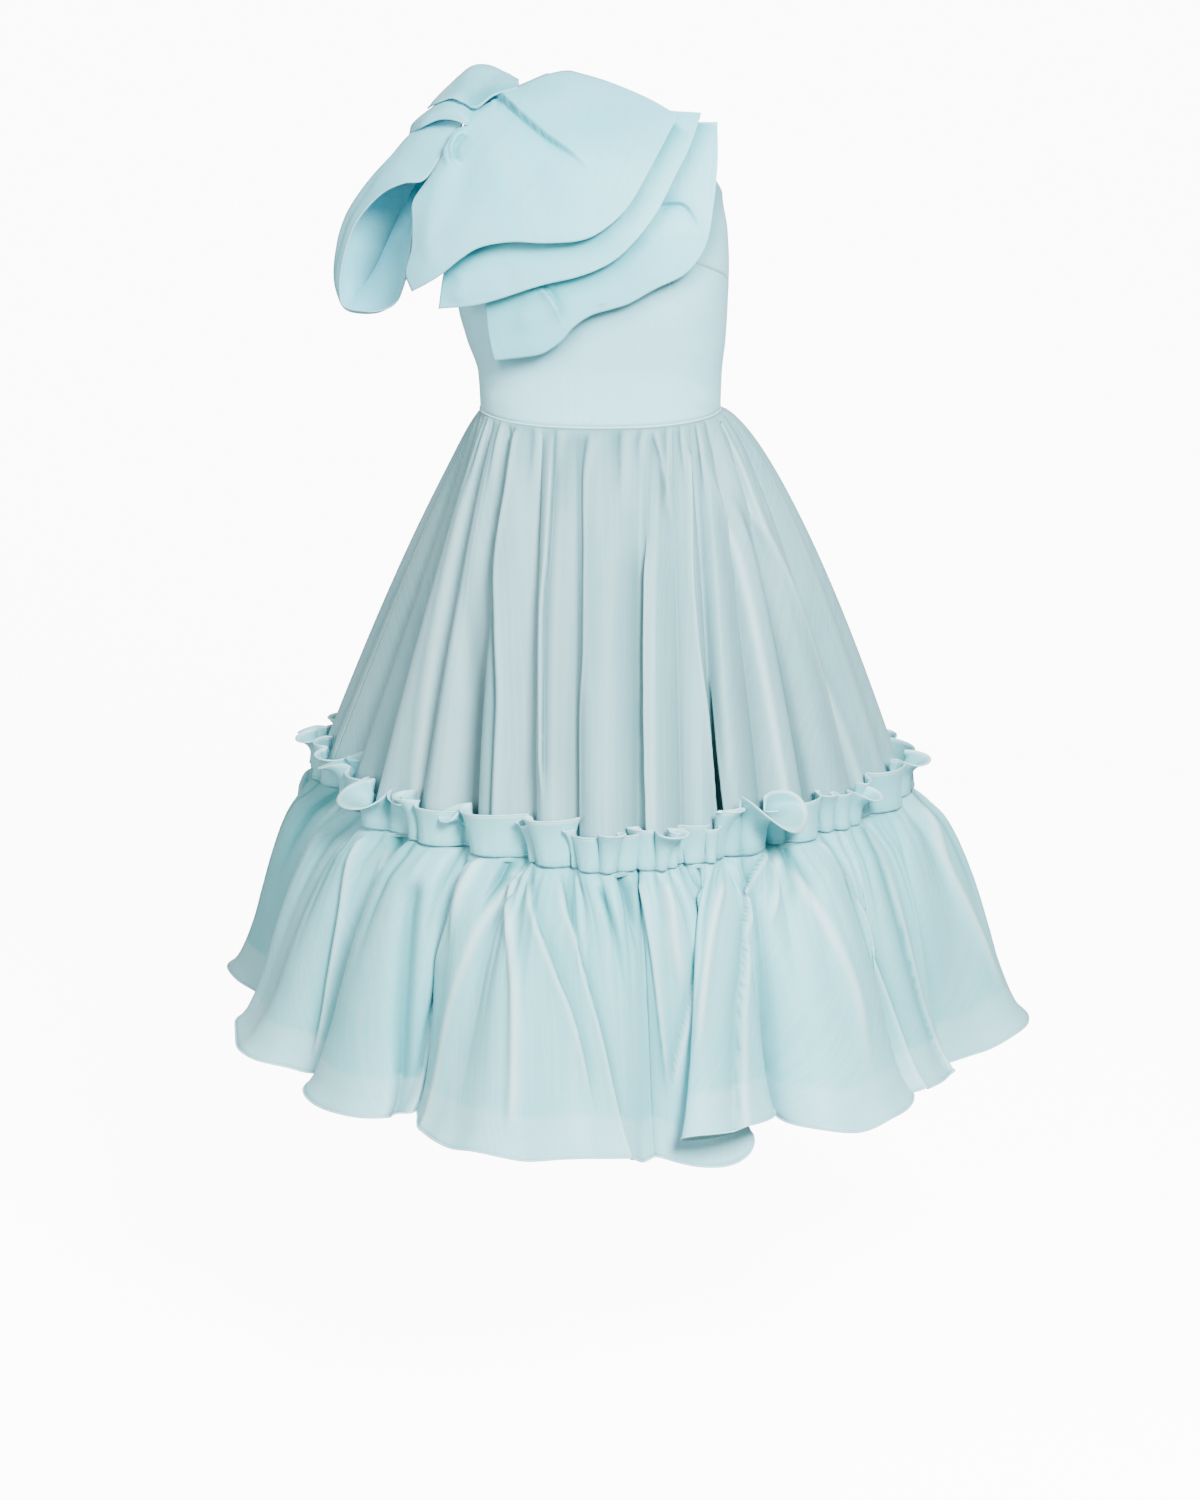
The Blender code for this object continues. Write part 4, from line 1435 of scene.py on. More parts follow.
    crown_sections: tuple[Rows, ...] = (
        (
            (-90, -64.6, 357.8), (-116, -78, 350), (-135, -84, 337), (-148, -74, 342),
            (-163, -62, 347), (-182, -44, 340), (-192, -12, 334),
        ),
        (
            (-89, -40, 364), (-110, -42, 366), (-130, -40, 364), (-148, -34, 361), (-163, -26, 355),
            (-179, -16, 347), (-189, 0, 336),
        ),
        (
            (-90, 4, 364), (-104, 4, 372), (-124, 6, 380), (-142, 8, 379), (-159, 10, 366),
            (-173, 12, 351), (-184, 16, 337),
        ),
        (
            (-91, 56, 352), (-108, 62, 358), (-126, 64, 360), (-143, 66, 357), (-157, 64, 348),
            (-168, 58, 338), (-176, 50, 330),
        ),
    )

    def _loft(
        self, sections: tuple[Rows, ...], columns: int, rows: int, closed: bool = False
    ) -> Array:
        """Smooth surface through sections.

        Args:
            sections: Sections with the same number of points, in mm.
            columns: Points across each section.
            rows: Rows along the surface.
            closed: Whether each section is a ring.

        Returns:
            Its points.
        """
        rings = np.stack([even_curve(section, columns, closed) for section in sections])
        lines = [curve(rings[:, c], np.linspace(0, 1, rows)) for c in range(rings.shape[1])]
        return np.stack(lines, axis=1) * MM

    def _dress(
        self, name: str, points: Array, closed: bool, edges: str, shade: Array, stain: Array | float
    ) -> Sheet:
        """Builds one bow sheet.

        Args:
            name: Name of the piece.
            points: Its outer surface.
            closed: Whether it closes into a ring.
            edges: Letters of its free edges.
            shade: How much painted shade each point gets.
            stain: How strongly each point is stained.

        Returns:
            The sheet, in the frame.
        """
        rows, columns = points.shape[:2]
        tight = edge_mark(points, self.tight_reach, "tb" if closed else "tblr")
        # Painted highlight along the free edges and painted shade in creases and under leaves.
        marks = {
            Mark.EDGE.value: 0.35 * edge_mark(points, self.edge_reach, edges),
            Mark.HOLLOW.value: shade,
            Mark.STAIN.value: stain,
            "around": np.linspace(0, 1, columns)[None, :] + np.linspace(0, 0.6, rows)[:, None] ** 2,
            "slack": 0.35 * (1 - tight),
        }
        sheet = Sheet(name, "bow_cloth", points, self.room.bow, self.wall, closed, marks)
        sheet.build()
        self.room.gathers.add_to(
            sheet.piece, self.room.bow, Gathers=9.0, Height=0.0011, Seed=len(name) * 1.7
        )
        sheet.give_wall()
        return sheet

    def _side_shade(self, points: Array) -> Array:
        """Shade where the folds of the knot go in behind the top leaf."""
        inner = soft_step(points[..., 0], -0.152, -0.138)
        return 0.6 * inner * soft_step(-points[..., 1], 0.045, 0.070)

    def _loop_shade(self, columns: int, rows: int) -> Array:
        """Shade on the loop's panel beside the body and deep inside it.

        Args:
            columns: Columns of the loop's sheet.
            rows: Its rows.

        Returns:
            From 0 on open cloth to 1.
        """
        share = np.linspace(0, 1, columns, endpoint=False)[None, :]
        deep = soft_step(np.linspace(0, 1, rows)[:, None], 0.35, 0.9)
        body_side = soft_step(share, 0.72, 0.80) * (1 - soft_step(share, 0.97, 1.0))
        return np.clip(0.7 * body_side + 0.2 * deep, 0, 1)

    def build(self) -> None:
        """Builds the six bow sheets."""
        above: Folds = ()
        for leaf in self.leaves:
            points, places = leaf.points(self.torso, *self.leaf_grid)
            stain = spots(leaf.stains, places[..., 0], places[..., 1])
            shade = leaf.shade(places, above)
            sheet = self._dress(leaf.name, points, False, "tbrl", shade, stain)
            sheet.sew_in(leaf.node, "draped", ["bodice_front_cloth"])
            above = (leaf.edge_shade(),)
        points = self._loft(self.loop_sections, *self.loop_grid, closed=True)
        shade = self._loop_shade(*self.loop_grid)
        loop = self._dress("bow_loop_cloth", points, True, "t", shade, 0.0)
        loop.sew_in("bow_loop", "folded", ["bow_knot_roll_cloth"])
        roll = self._loft(self.roll_sections, *self.roll_grid)[:, ::-1]
        crown = self._loft(self.crown_sections, *self.crown_grid)[::-1, ::-1]
        for label, points, edges, under in (
            ("knot_roll", roll, "b", "bow_crown_cloth"),
            ("crown", crown, "br", "bodice_front_cloth"),
        ):
            shade = self._side_shade(points)
            sheet = self._dress(f"bow_{label}_cloth", points, False, edges, shade, 0.0)
            sheet.sew_in(f"bow_{label}", "folded", [under])


# ------------------------------------------------------------------ skirt


@dataclass
class Skirt:
    """Pleated upper tier from the waist seam to the gathering seam."""

    torso: Torso
    room: Workroom
    seam_z: float = -0.460
    above_seam: float = -0.004
    turn_out: float = 0.0026
    columns_per_fold: int = 8
    right_seam: int = -4
    left_seam: int = 100
    finer: int = 5
    rows: int = 82
    # Depth of the fine pleats at the waist, and the drop at which they are fully open.
    waist_pleat: float = 0.005
    waist_open: float = 0.03
    # How broad the folds' crests are, how soon the folds deepen and where their lean begins.
    crest_power: float = 1.15
    depth_power: float = 0.65
    lean_start: float = 0.15
    lean_run: float = 0.60
    seam_radius: Rows = (
        (-180, 345), (-150, 375), (-128, 402), (-112, 380), (-97, 305), (-80, 292), (-58, 284),
        (-36, 272), (-18, 284), (4, 320), (24, 298), (45, 290), (65, 304), (80, 332), (96, 368),
        (120, 382), (150, 368), (180, 345),
    )
    # Each fold: bearings of its right trough at the waist and at the seam, depth, lean and flare.
    folds: Rows = (
        (-90, -97, 40, 0.20, 1.00), (-74, -72, 24, 0.16, 0.88), (-58, -53, 24, 0.10, 0.76),
        (-44, -33, 30, 0.30, 0.68), (-24, -15, 18, 0.24, 0.66), (-8, -5, 17, 0.20, 0.66),
        (17, 8, 24, 0.20, 0.66), (32, 18, 12, 0.00, 0.66), (44, 28, 32, 0.28, 0.66),
        (56, 43, 18, 0.00, 0.67), (68, 58, 18, 0.06, 0.68), (80, 75, 18, 0.00, 0.68),
        (90, 91, 22, 0.00, 0.68), (106, 108, 24, 0.16, 0.67), (120, 124, 26, 0.20, 0.66),
        (134, 139, 28, 0.16, 0.66), (149, 154, 24, 0.20, 0.66), (165, 168, 26, 0.16, 0.66),
        (180, 182, 26, -0.16, 0.66), (195, 196, 24, -0.16, 0.68), (210, 210, 28, -0.20, 0.70),
        (224, 223, 26, -0.16, 0.74), (238, 235, 24, -0.10, 0.82), (254, 248, 32, 0.00, 0.92),
    )
    creases: Folds = (
        Pleat(LAP, ((0.0, 27.4), (0.13, 27.6), (0.28, 27.2), (0.45, 28.2), (0.66, 29.0),
            (1.0, 28.8)), 20, 8.0, shade_reach=16.0),
        Pleat(TROUGH, ((0.3, 20.8), (0.52, 22.2), (0.70, 23.0), (1.0, 23.2)), 26, 9.0, 0.25),
        Pleat(LAP_LEFT, ((0.0, 36.8), (0.27, 36.4), (0.42, 35.8), (0.70, 36.0), (0.86, 36.0)),
            16, 6.5, shade_reach=14.0),
        Pleat(LAP, ((0.0, 42.2), (0.12, 41.4), (0.29, 41.8), (0.49, 42.0), (0.65, 41.0),
            (1.0, 40.8)), 10, 3.6, shade_reach=6.0),
        Pleat(LAP, ((0.0, 49.8), (0.08, 52.8), (0.19, 54.6), (0.26, 55.8)), 9, 3.6),
        Pleat(LAP, ((0.22, 49.0), (0.39, 49.2), (0.56, 49.4), (1.0, 50.2)),
            20, 8.0, 0.12, shade_reach=16.0),
        Pleat(LAP_LEFT, ((0.05, 61.0), (0.35, 59.6), (0.49, 60.0), (0.66, 61.4), (1.0, 63.0)),
            16, 6.0, shade_reach=14.0),
        Pleat(TROUGH, ((0.50, 62.6), (0.66, 63.4), (1.0, 64.4)), 12, 16.0, 0.3, shade_reach=11.0),
        Pleat(LAP, ((0.50, 62.8), (0.66, 64.6), (1.0, 66.0)), 12, 5.0, 0.3),
        Pleat(RIDGE, ((0.0, 78.4), (0.067, 80.6), (0.13, 81.4), (0.36, 82.4)), 9, 4.0),
        Pleat(RIDGE, ((0.04, 66.2), (0.33, 73.2), (0.66, 74.2), (1.0, 74.8)), 16, 4.0, 0.2),
        Pleat(TROUGH, ((0.10, 72.0), (0.34, 78.8), (0.70, 79.6), (1.0, 80.0)), 14, 3.5, 0.2),
        Pleat(RIDGE, ((0.03, 74.2), (0.34, 83.4), (0.71, 88.2), (1.0, 89.2)), 16, 3.5, 0.2),
        Pleat(RIDGE, ((0.06, 14.0), (0.29, 14.2), (0.54, 14.6), (1.0, 15.8)), 18, 4.0, 0.2),
        Pleat(TROUGH, ((0.08, 10.0), (0.40, 9.0), (0.80, 8.6), (1.0, 8.6)), 16, 4.0, 0.2),
    )
    # Short pleats at the waist seam: column, share of the drop that they reach, depth in mm.
    waist_pleats: Rows = (
        (6.2, 0.16, 3.0), (13.5, 0.22, 3.2), (21.0, 0.20, 3.0), (31.0, 0.16, 2.6),
        (37.0, 0.12, 2.4), (45.2, 0.20, 2.8), (47.4, 0.10, 2.2), (54.0, 0.26, 3.2),
        (58.0, 0.14, 2.4), (66.0, 0.20, 3.0), (71.0, 0.14, 2.4), (79.0, 0.18, 3.4),
        (86.0, 0.16, 2.6), (94.0, 0.20, 3.0), (103.0, 0.20, 2.8), (111.0, 0.14, 2.6),
        (118.0, 0.22, 3.0), (126.0, 0.16, 2.6), (133.0, 0.20, 3.0), (141.0, 0.14, 2.4),
        (148.0, 0.22, 3.2), (156.0, 0.16, 2.6), (164.0, 0.20, 3.0), (171.0, 0.14, 2.6),
        (180.0, 0.20, 3.0),
    )
    # Column, drop, their half widths and strength.
    stains: Rows = (
        (93.0, 0.47, 0.35, 0.006, 0.5), (68.4, 0.71, 1.2, 0.02, 0.12),
        (80.8, 0.73, 1.4, 0.02, 0.12), (152.0, 0.62, 0.4, 0.006, 0.35),
    )
    # Wide folds that lie in shade, in the same order.
    shaded: Rows = (
        (39.0, 0.60, 2.7, 0.42, 0.30), (24.6, 0.82, 3.0, 0.36, 0.24), (64.8, 0.86, 1.3, 0.34, 0.32),
        (71.0, 0.82, 2.2, 0.34, 0.16), (47.0, 0.50, 2.4, 0.30, 0.12),
        (128.0, 0.70, 2.6, 0.40, 0.24), (146.0, 0.60, 2.4, 0.40, 0.24),
        (171.0, 0.70, 2.8, 0.40, 0.24),
    )

    def fold_wave(self, share: Array) -> Array:
        """Cross form of a fold: 0 in its troughs, 1 on its broad crest."""
        return np.sin(math.pi * share) ** self.crest_power

    def columns(self, finer: int) -> Array:
        """Column numbers once round the gown, that many for each of the solids' own."""
        return np.arange(COLUMNS_ROUND * finer) / finer + self.right_seam

    def place(self, columns: Array) -> Array:
        """Where columns lie round the gown, from 0 to 1."""
        return (columns - self.right_seam) / COLUMNS_ROUND

    def off_seams(self, columns: Array) -> Array:
        """How far columns lie off the side seams.

        Args:
            columns: Columns once round.

        Returns:
            One row, 0 at the seams and 1 from three columns beside them.
        """
        right, left = np.abs(columns - self.right_seam), np.abs(columns - self.left_seam)
        fade = np.minimum(right, left)
        fade = np.minimum(fade, np.abs(columns - self.right_seam - COLUMNS_ROUND))
        return np.clip(fade / 3, 0, 1)[None, :]

    def ring(self, column: Array, drop: float) -> Array:
        """Outer surface of the skirt.

        Args:
            column: Columns, which may be fractions.
            drop: Share of its drop.

        Returns:
            A point for each column.
        """
        rows = np.array(self.folds)
        after = np.roll(rows, -1, axis=0)
        after[-1, :2] += 360
        fold = np.floor(column / self.columns_per_fold).astype(int) % len(rows)
        share = (column / self.columns_per_fold) % 1.0
        wave = self.fold_wave(share)
        lean = math.sin(math.pi * (self.lean_start + self.lean_run * drop))
        shift = share - rows[fold, 3] * wave * lean
        waist_turn = rows[fold, 0] + (after[fold, 0] - rows[fold, 0]) * shift
        seam_turn = rows[fold, 1] + (after[fold, 1] - rows[fold, 1]) * shift
        waist = self.torso.waist_ring(waist_turn)
        radius = wrapped_table(self.seam_radius, seam_turn) * MM
        turn = np.radians(seam_turn)
        seam_z = np.full_like(turn, self.seam_z)
        seam = np.stack([radius * np.sin(turn), -radius * np.cos(turn), seam_z], axis=-1)
        near = np.where(share < 0.5, rows[fold - 1, 4], after[fold, 4])
        power = near + (rows[fold, 4] - near) * (1 - np.abs(share - 0.5))
        point = waist + (seam - waist) * (drop**power)[:, None]
        point[..., 2] = waist[..., 2] + (self.seam_z - waist[..., 2]) * drop
        pleat = self.waist_pleat * min(1.0, drop / self.waist_open) * (1 - drop)
        depth = pleat + rows[fold, 2] * MM * drop**self.depth_power
        side = np.where(share < 0.5, rows[fold - 1, 2], after[fold, 2])
        level = (rows[fold, 2] + (side - rows[fold, 2]) * np.abs(share - 0.5)) / rows[fold, 2]
        inward = depth * level * (1 - wave)
        facing = np.hypot(point[..., 0], point[..., 1])
        point[..., 0] -= inward * point[..., 0] / facing
        point[..., 1] -= inward * point[..., 1] / facing
        return point

    def seam_ring(self, columns: Array, finer: int) -> tuple[Array, Array]:
        """Skirt surface at the gathering seam.

        Args:
            columns: Columns once round.
            finer: How many there are for one skirt column.

        Returns:
            The points and their outward directions in plan.
        """
        ring = self.ring(columns, 1.0)
        along = unit(np.roll(ring, -finer, axis=0)[:, :2] - np.roll(ring, finer, axis=0)[:, :2])
        return ring, np.stack([along[:, 1], -along[:, 0], np.zeros(len(ring))], axis=1)

    def gathered(self, columns: Array) -> Array:
        """How far each column of the seam's small gathers stands out, from 0 to 1."""
        return (1 - np.cos(FULL_TURN * columns / 4)) / 2

    def lay(
        self, pleats: Folds, grid: Array, columns: Array, rise: Array, shade: Array, drops: Array
    ) -> tuple[Array, Array, Array]:
        """Lays creases on a tier.

        Args:
            pleats: The creases.
            grid: The tier's smooth surface.
            columns: Columns once round.
            rise: How far each point already moves outwards.
            shade: How much painted shade each point already gets.
            drops: Drop of each row.

        Returns:
            The rise, the shade and the shine of each point.
        """
        finer = len(columns) // COLUMNS_ROUND
        across = np.linalg.norm(np.diff(grid, axis=1), axis=-1).mean(1) * finer / MM
        shine = 0 * rise
        for pleat in pleats:
            rise = rise + pleat.rise(columns, drops, across)
            shade = shade + 0.8 * pleat.shade(columns, drops, across)
            shine = np.maximum(shine, pleat.shine(columns, drops, across))
        return rise, shade, shine

    def panels(self, grid: Array) -> tuple[Array, Array]:
        """Front and back parts of a closed grid, parted at the side seams.

        Args:
            grid: Rows by columns, with any number of values for each point.

        Returns:
            The front and the back part.
        """
        whole = np.concatenate([grid, grid[:, :1]], axis=1)
        split = (self.left_seam - self.right_seam) * (grid.shape[1] // COLUMNS_ROUND)
        return whole[:, : split + 1], whole[:, split:]

    def sheets(
        self,
        names: tuple[str, str],
        finish: bpy.types.Material,
        grid: Array,
        marks: dict[str, Array],
        **gathers: float,
    ) -> Iterator[tuple[str, Sheet]]:
        """Builds the front and the back sheet of a tier.

        Args:
            names: The tier's name and its material slot.
            finish: Its material.
            grid: Its surface, once round.
            marks: Its marks, once round.
            gathers: Inputs of the fine gathers.

        Yields:
            "front" or "back" and the sheet, with its wall.
        """
        for number, part in enumerate(("front", "back")):
            points = self.panels(grid)[number]
            kept = {
                label: self.panels(np.broadcast_to(values, grid.shape[:2]))[number]
                for label, values in marks.items()
            }
            name = f"{names[0]}_{part}_cloth"
            sheet = Sheet(name, names[1], points, finish, TIER_WALL, marks=kept)
            sheet.build()
            self.room.gathers.add_to(sheet.piece, finish, **gathers)
            sheet.give_wall()
            yield part, sheet

    def build(self) -> None:
        """Builds the skirt's front and back."""
        columns = self.columns(self.finer)
        last = 1 - self.above_seam / -self.seam_z
        drops = np.linspace(0, 1, self.rows) ** 1.12
        grid = np.stack([self.ring(columns, drop * last) for drop in drops])
        place = self.place(columns)
        normals = grid_normals(grid, True)
        drop = drops[:, None]
        bent = place[None, :] + 0.010 * ring_noise(place, knots=40, seed=5)[None, :] * drop
        rise = 1.6 * uneven_ridges(bent, 52, seed=11, narrow=0.8) * np.exp(-((drop / 0.12) ** 2))
        rise = rise + 1.5 * ring_noise(bent, knots=44, seed=12) * soft_step(drop, 0.02, 0.3)
        rise = (rise - 0.6) * MM
        pleats = list(self.creases)
        for column, reach, depth in self.waist_pleats:
            path = ((0.0, column), (reach, column + 3.0 * reach * math.sin(column)))
            pleats.append(Pleat(LAP, path, 9, depth, 0.01, reach * 0.8, 4.0))
        rise, shade, shine = self.lay(pleats, grid, columns, rise, 0 * rise, drops)
        # Painted satin sheen: pale streaks down the skirt.
        sheen_streaks = np.clip(ring_noise(bent, knots=64, seed=21), 0, 1) * soft_step(drop, 0.06, 0.3)
        rise = rise * soft_step(drop, 0.0, 0.025) * (1 - soft_step(drop, 0.97, 1.0))
        grid = grid + normals * rise[..., None]
        # The edge below the seam turns out to the flounce, so that no light shows between them.
        out = self.turn_out + SEAM_GATHER * self.gathered(columns)
        grid[-1, :, :2] += unit(normals[-1, :, :2]) * out[:, None]
        # Painted shade, darker deep in each fold's trough, under the laps and on the shaded spots.
        fold_share = (columns / self.columns_per_fold) % 1.0
        hollow = (1 - self.fold_wave(fold_share))[None, :] ** 2.3 * soft_step(drop, 0.15, 0.8)
        hollow = 0.52 * hollow + shade + spots(self.shaded, columns[None, :], drop)
        slack = self.off_seams(columns) * (0.5 + 0.5 * ring_noise(place, knots=30, seed=8))[None, :]
        slack = slack * soft_step(drop, 0.0, 0.05) * (1 - soft_step(drop, 0.9, 1.0))
        # The pale band carries painted highlights on ridges and laps and the painted sheen streaks.
        marks = {
            Mark.HOLLOW.value: np.clip(hollow, 0, 0.92),
            Mark.BAND.value: np.clip(0.6 * shine + 0.35 * sheen_streaks, 0, 0.8),
            Mark.STAIN.value: spots(self.stains, columns[None, :], drop),
            "around": bent,
            "slack": slack * (1 - 0.4 * drop),
        }
        for part, sheet in self.sheets(
            ("skirt", "skirt_cloth"), self.room.skirt, grid, marks,
            Gathers=110.0, Height=0.0011, Seed=3.0,
        ):
            sheet.sew_in(f"skirt_{part}", "hung", [f"bodice_{part}_cloth"])


# ------------------------------------------------------------------ heading frill


@dataclass
class Heading:
    """Ruffled frill that stands above the gathering seam."""

    skirt: Skirt
    room: Workroom
    height: float = 0.042
    lift: float = 0.0006
    clear: float = 0.0020
    rows: int = 22
    bend_steps: int = 59
    # Seen ruffles: first column, columns covered, how far the top stands out and the sides spread
    # in mm, bend outwards in degrees, share of the frill's height and lean along the seam in mm.
    seen: Rows = (
        (-2, 3, 14, 8, 35, 1.05, -3), (1, 3.5, 22, 9, 95, 1.2, -2), (4.5, 2, 10, 5, 20, 0.95, 3),
        (6.5, 3.5, 20, 10, 80, 1.1, 3), (10, 4, 22, 10, 110, 1.1, 2), (14, 3, 16, 8, 70, 1.2, 6),
        (17, 2, 16, 7, 40, 1.15, -4), (19, 4, 10, 9, 14, 1, 0), (23, 2.6, 24, 10, 100, 1.15, -6),
        (25.6, 5.9, 11, 14, 10, 1.12, 1), (31.5, 1.6, 18, 7, 40, 1.1, 4),
        (33.1, 1.4, 10, 4, 20, 0.95, -3), (34.5, 5.2, 12, 15, 14, 1.25, 2),
        (39.7, 1.5, 14, 6, 30, 1.05, 4), (41.2, 3, 8, 8, 8, 0.9, 0),
        (44.2, 1.6, 16, 6, 30, 1.05, 4), (45.8, 2, 10, 6, 12, 0.95, -3),
        (47.8, 3.6, 10, 9, 10, 1.1, 0), (51.4, 1.6, 20, 8, 60, 1.15, 4),
        (53, 1.4, 12, 5, 20, 0.95, -3), (54.4, 5, 10, 12, 10, 1, 0),
        (59.4, 1.6, 10, 5, 10, 0.9, -4), (61, 6.4, 22, 17, 40, 1.4, -3),
        (67.4, 4.4, 26, 12, 150, 1.75, 5), (71.8, 2.2, 16, 7, 30, 1, -3),
        (74, 6.6, 10, 15, 9, 1.12, 0), (80.6, 1.6, 16, 6, 30, 1.1, 3),
        (82.2, 2, 12, 6, 20, 1.05, -3), (84.2, 2.4, 22, 9, 90, 1.05, 6),
        (86.6, 2.6, 16, 7, 30, 1.1, -4), (89.2, 6.2, 11, 14, 14, 1.15, 1),
        (95.4, 3.2, 26, 11, 65, 1.2, 8),
    )

    def ruffles(self) -> Array:
        """All ruffles once round.

        Returns:
            Those seen from the front and uneven ones of the same kinds behind, in the same order.
        """
        rng = np.random.default_rng(41)
        made = list(self.seen)
        place = made[-1][0] + made[-1][1]
        end = COLUMNS_ROUND + made[0][0]
        while place < end - 0.5:
            tight = rng.random() < 0.6
            width = rng.uniform(1.5, 3.2) if tight else rng.uniform(3.5, 6.2)
            if place + width > end - 1.5:
                width = end - place
            out = rng.uniform(12, 24) if tight else rng.uniform(9, 12)
            spread = min(width * 2.6, out * 0.5) if tight else width * 2.4
            flop = rng.uniform(15, 110) if tight else 11.0
            lean = rng.uniform(-5, 5) if tight else 0.0
            made.append((place, width, out, spread, flop, rng.uniform(0.95, 1.2), lean))
            place += width
        return np.array(made, float)

    def crests(self, columns: Array) -> tuple[Array, Array]:
        """Where columns lie on the ruffles.

        Args:
            columns: Columns once round.

        Returns:
            The share of its ruffle at which each column lies, and the sizes of that ruffle.
        """
        ruffles = self.ruffles()
        starts = ruffles[:, 0]
        at = (columns - starts[0]) % COLUMNS_ROUND + starts[0]
        sizes = ruffles[np.searchsorted(starts, at, side="right") - 1]
        return (at - sizes[:, 0]) / sizes[:, 1], sizes

    def points(self, columns: Array, finer: int) -> Array:
        """The frill's outer surface.

        Args:
            columns: Columns once round.
            finer: How many there are for one skirt column.

        Returns:
            Rows from the top edge down, by columns.
        """
        share, sizes = self.crests(columns)
        _, _, stand, spread, flop, tall, lean = sizes.T
        crest = np.sin(math.pi * share)
        broad = crest**0.7
        stand = stand * MM * broad
        spread = -spread * MM * np.sin(FULL_TURN * share) + lean * MM * broad
        flop = np.radians(6 + (flop - 6) * broad)
        kernel = np.hanning(9)
        kernel /= kernel.sum()
        tall = np.convolve(np.pad(tall, 4, mode="wrap"), kernel, mode="valid")
        tall = tall * (1 + 0.05 * ring_noise(columns / COLUMNS_ROUND, knots=90, seed=21))
        strip = (self.height - self.lift) * tall
        foot = TIER_WALL + self.clear + 0.0060 * crest**1.2
        ring, out = self.skirt.seam_ring(columns, finer)
        side = np.stack([-out[:, 1], out[:, 0], np.zeros(len(out))], axis=1)
        steps = self.bend_steps
        bend = soft_step(np.linspace(0, 1, steps + 1), 0.25, 1.0)[1:, None] * flop[None, :]
        up, over = (
            np.pad(np.cumsum(part(bend), axis=0) / steps, ((1, 0), (0, 0)))
            for part in (np.cos, np.sin)
        )
        grid = []
        for rise in np.linspace(1, 0, self.rows):
            step = int(round(rise * steps))
            outward = foot + stand * rise**1.2 * 0.62 + over[step] * strip
            point = ring + out * outward[:, None] + side * (spread * rise**1.1)[:, None]
            drop = 1 - rise * (self.height - self.lift) / -self.skirt.seam_z
            point[:, :2] += (self.skirt.ring(columns, drop) - ring)[:, :2] * 0.8
            point[:, 2] = self.skirt.seam_z + self.lift + up[step] * strip
            grid.append(point)
        return np.stack(grid)

    def build(self) -> None:
        """Builds the frill's front and back with the folded top edge and the gathering stitches."""
        columns = self.skirt.columns(FRILL_FINER)
        grid = self.points(columns, FRILL_FINER)
        rises = np.linspace(1, 0, self.rows)[:, None]
        down = 1 - rises
        # Painted shade in the pinches between ruffles and at the frill's foot, and a painted
        # highlight along its top edge.
        pinch = (1 - np.sin(math.pi * self.crests(columns)[0]))[None, :]
        shade = 0.85 * pinch**2.5 * (0.35 + 0.65 * down)
        marks = {
            "around": self.skirt.place(columns),
            "slack": 0.3 + 0.7 * down**1.5,
            Mark.HOLLOW.value: np.clip(0.3 * soft_step(down, 0.8, 1.0) + shade, 0, 0.85),
            Mark.EDGE.value: 0.75 * soft_step(rises, 0.90, 0.99),
        }
        for part, sheet in self.skirt.sheets(
            ("frill", "flounce_cloth"), self.room.flounce, grid, marks,
            Gathers=260.0, Height=0.0009, Seed=9.0,
        ):
            points = sheet.points
            top = line_piece(
                f"frill_{part}_fold", points[0], self.room.rolls, self.room.edge, "flounce_cloth",
                Radius=0.0010, Step=0.003,
            )
            low = points[-2] + unit(points[-2] * (1, 1, 0)) * 0.0012
            thread = line_piece(
                f"frill_{part}_stitches", low, self.room.stitches, self.room.edge, "flounce_cloth"
            )
            sheet.sew_in(f"frill_{part}", "gathered", [f"skirt_{part}_cloth"], [top, thread])


# ------------------------------------------------------------------ flounce


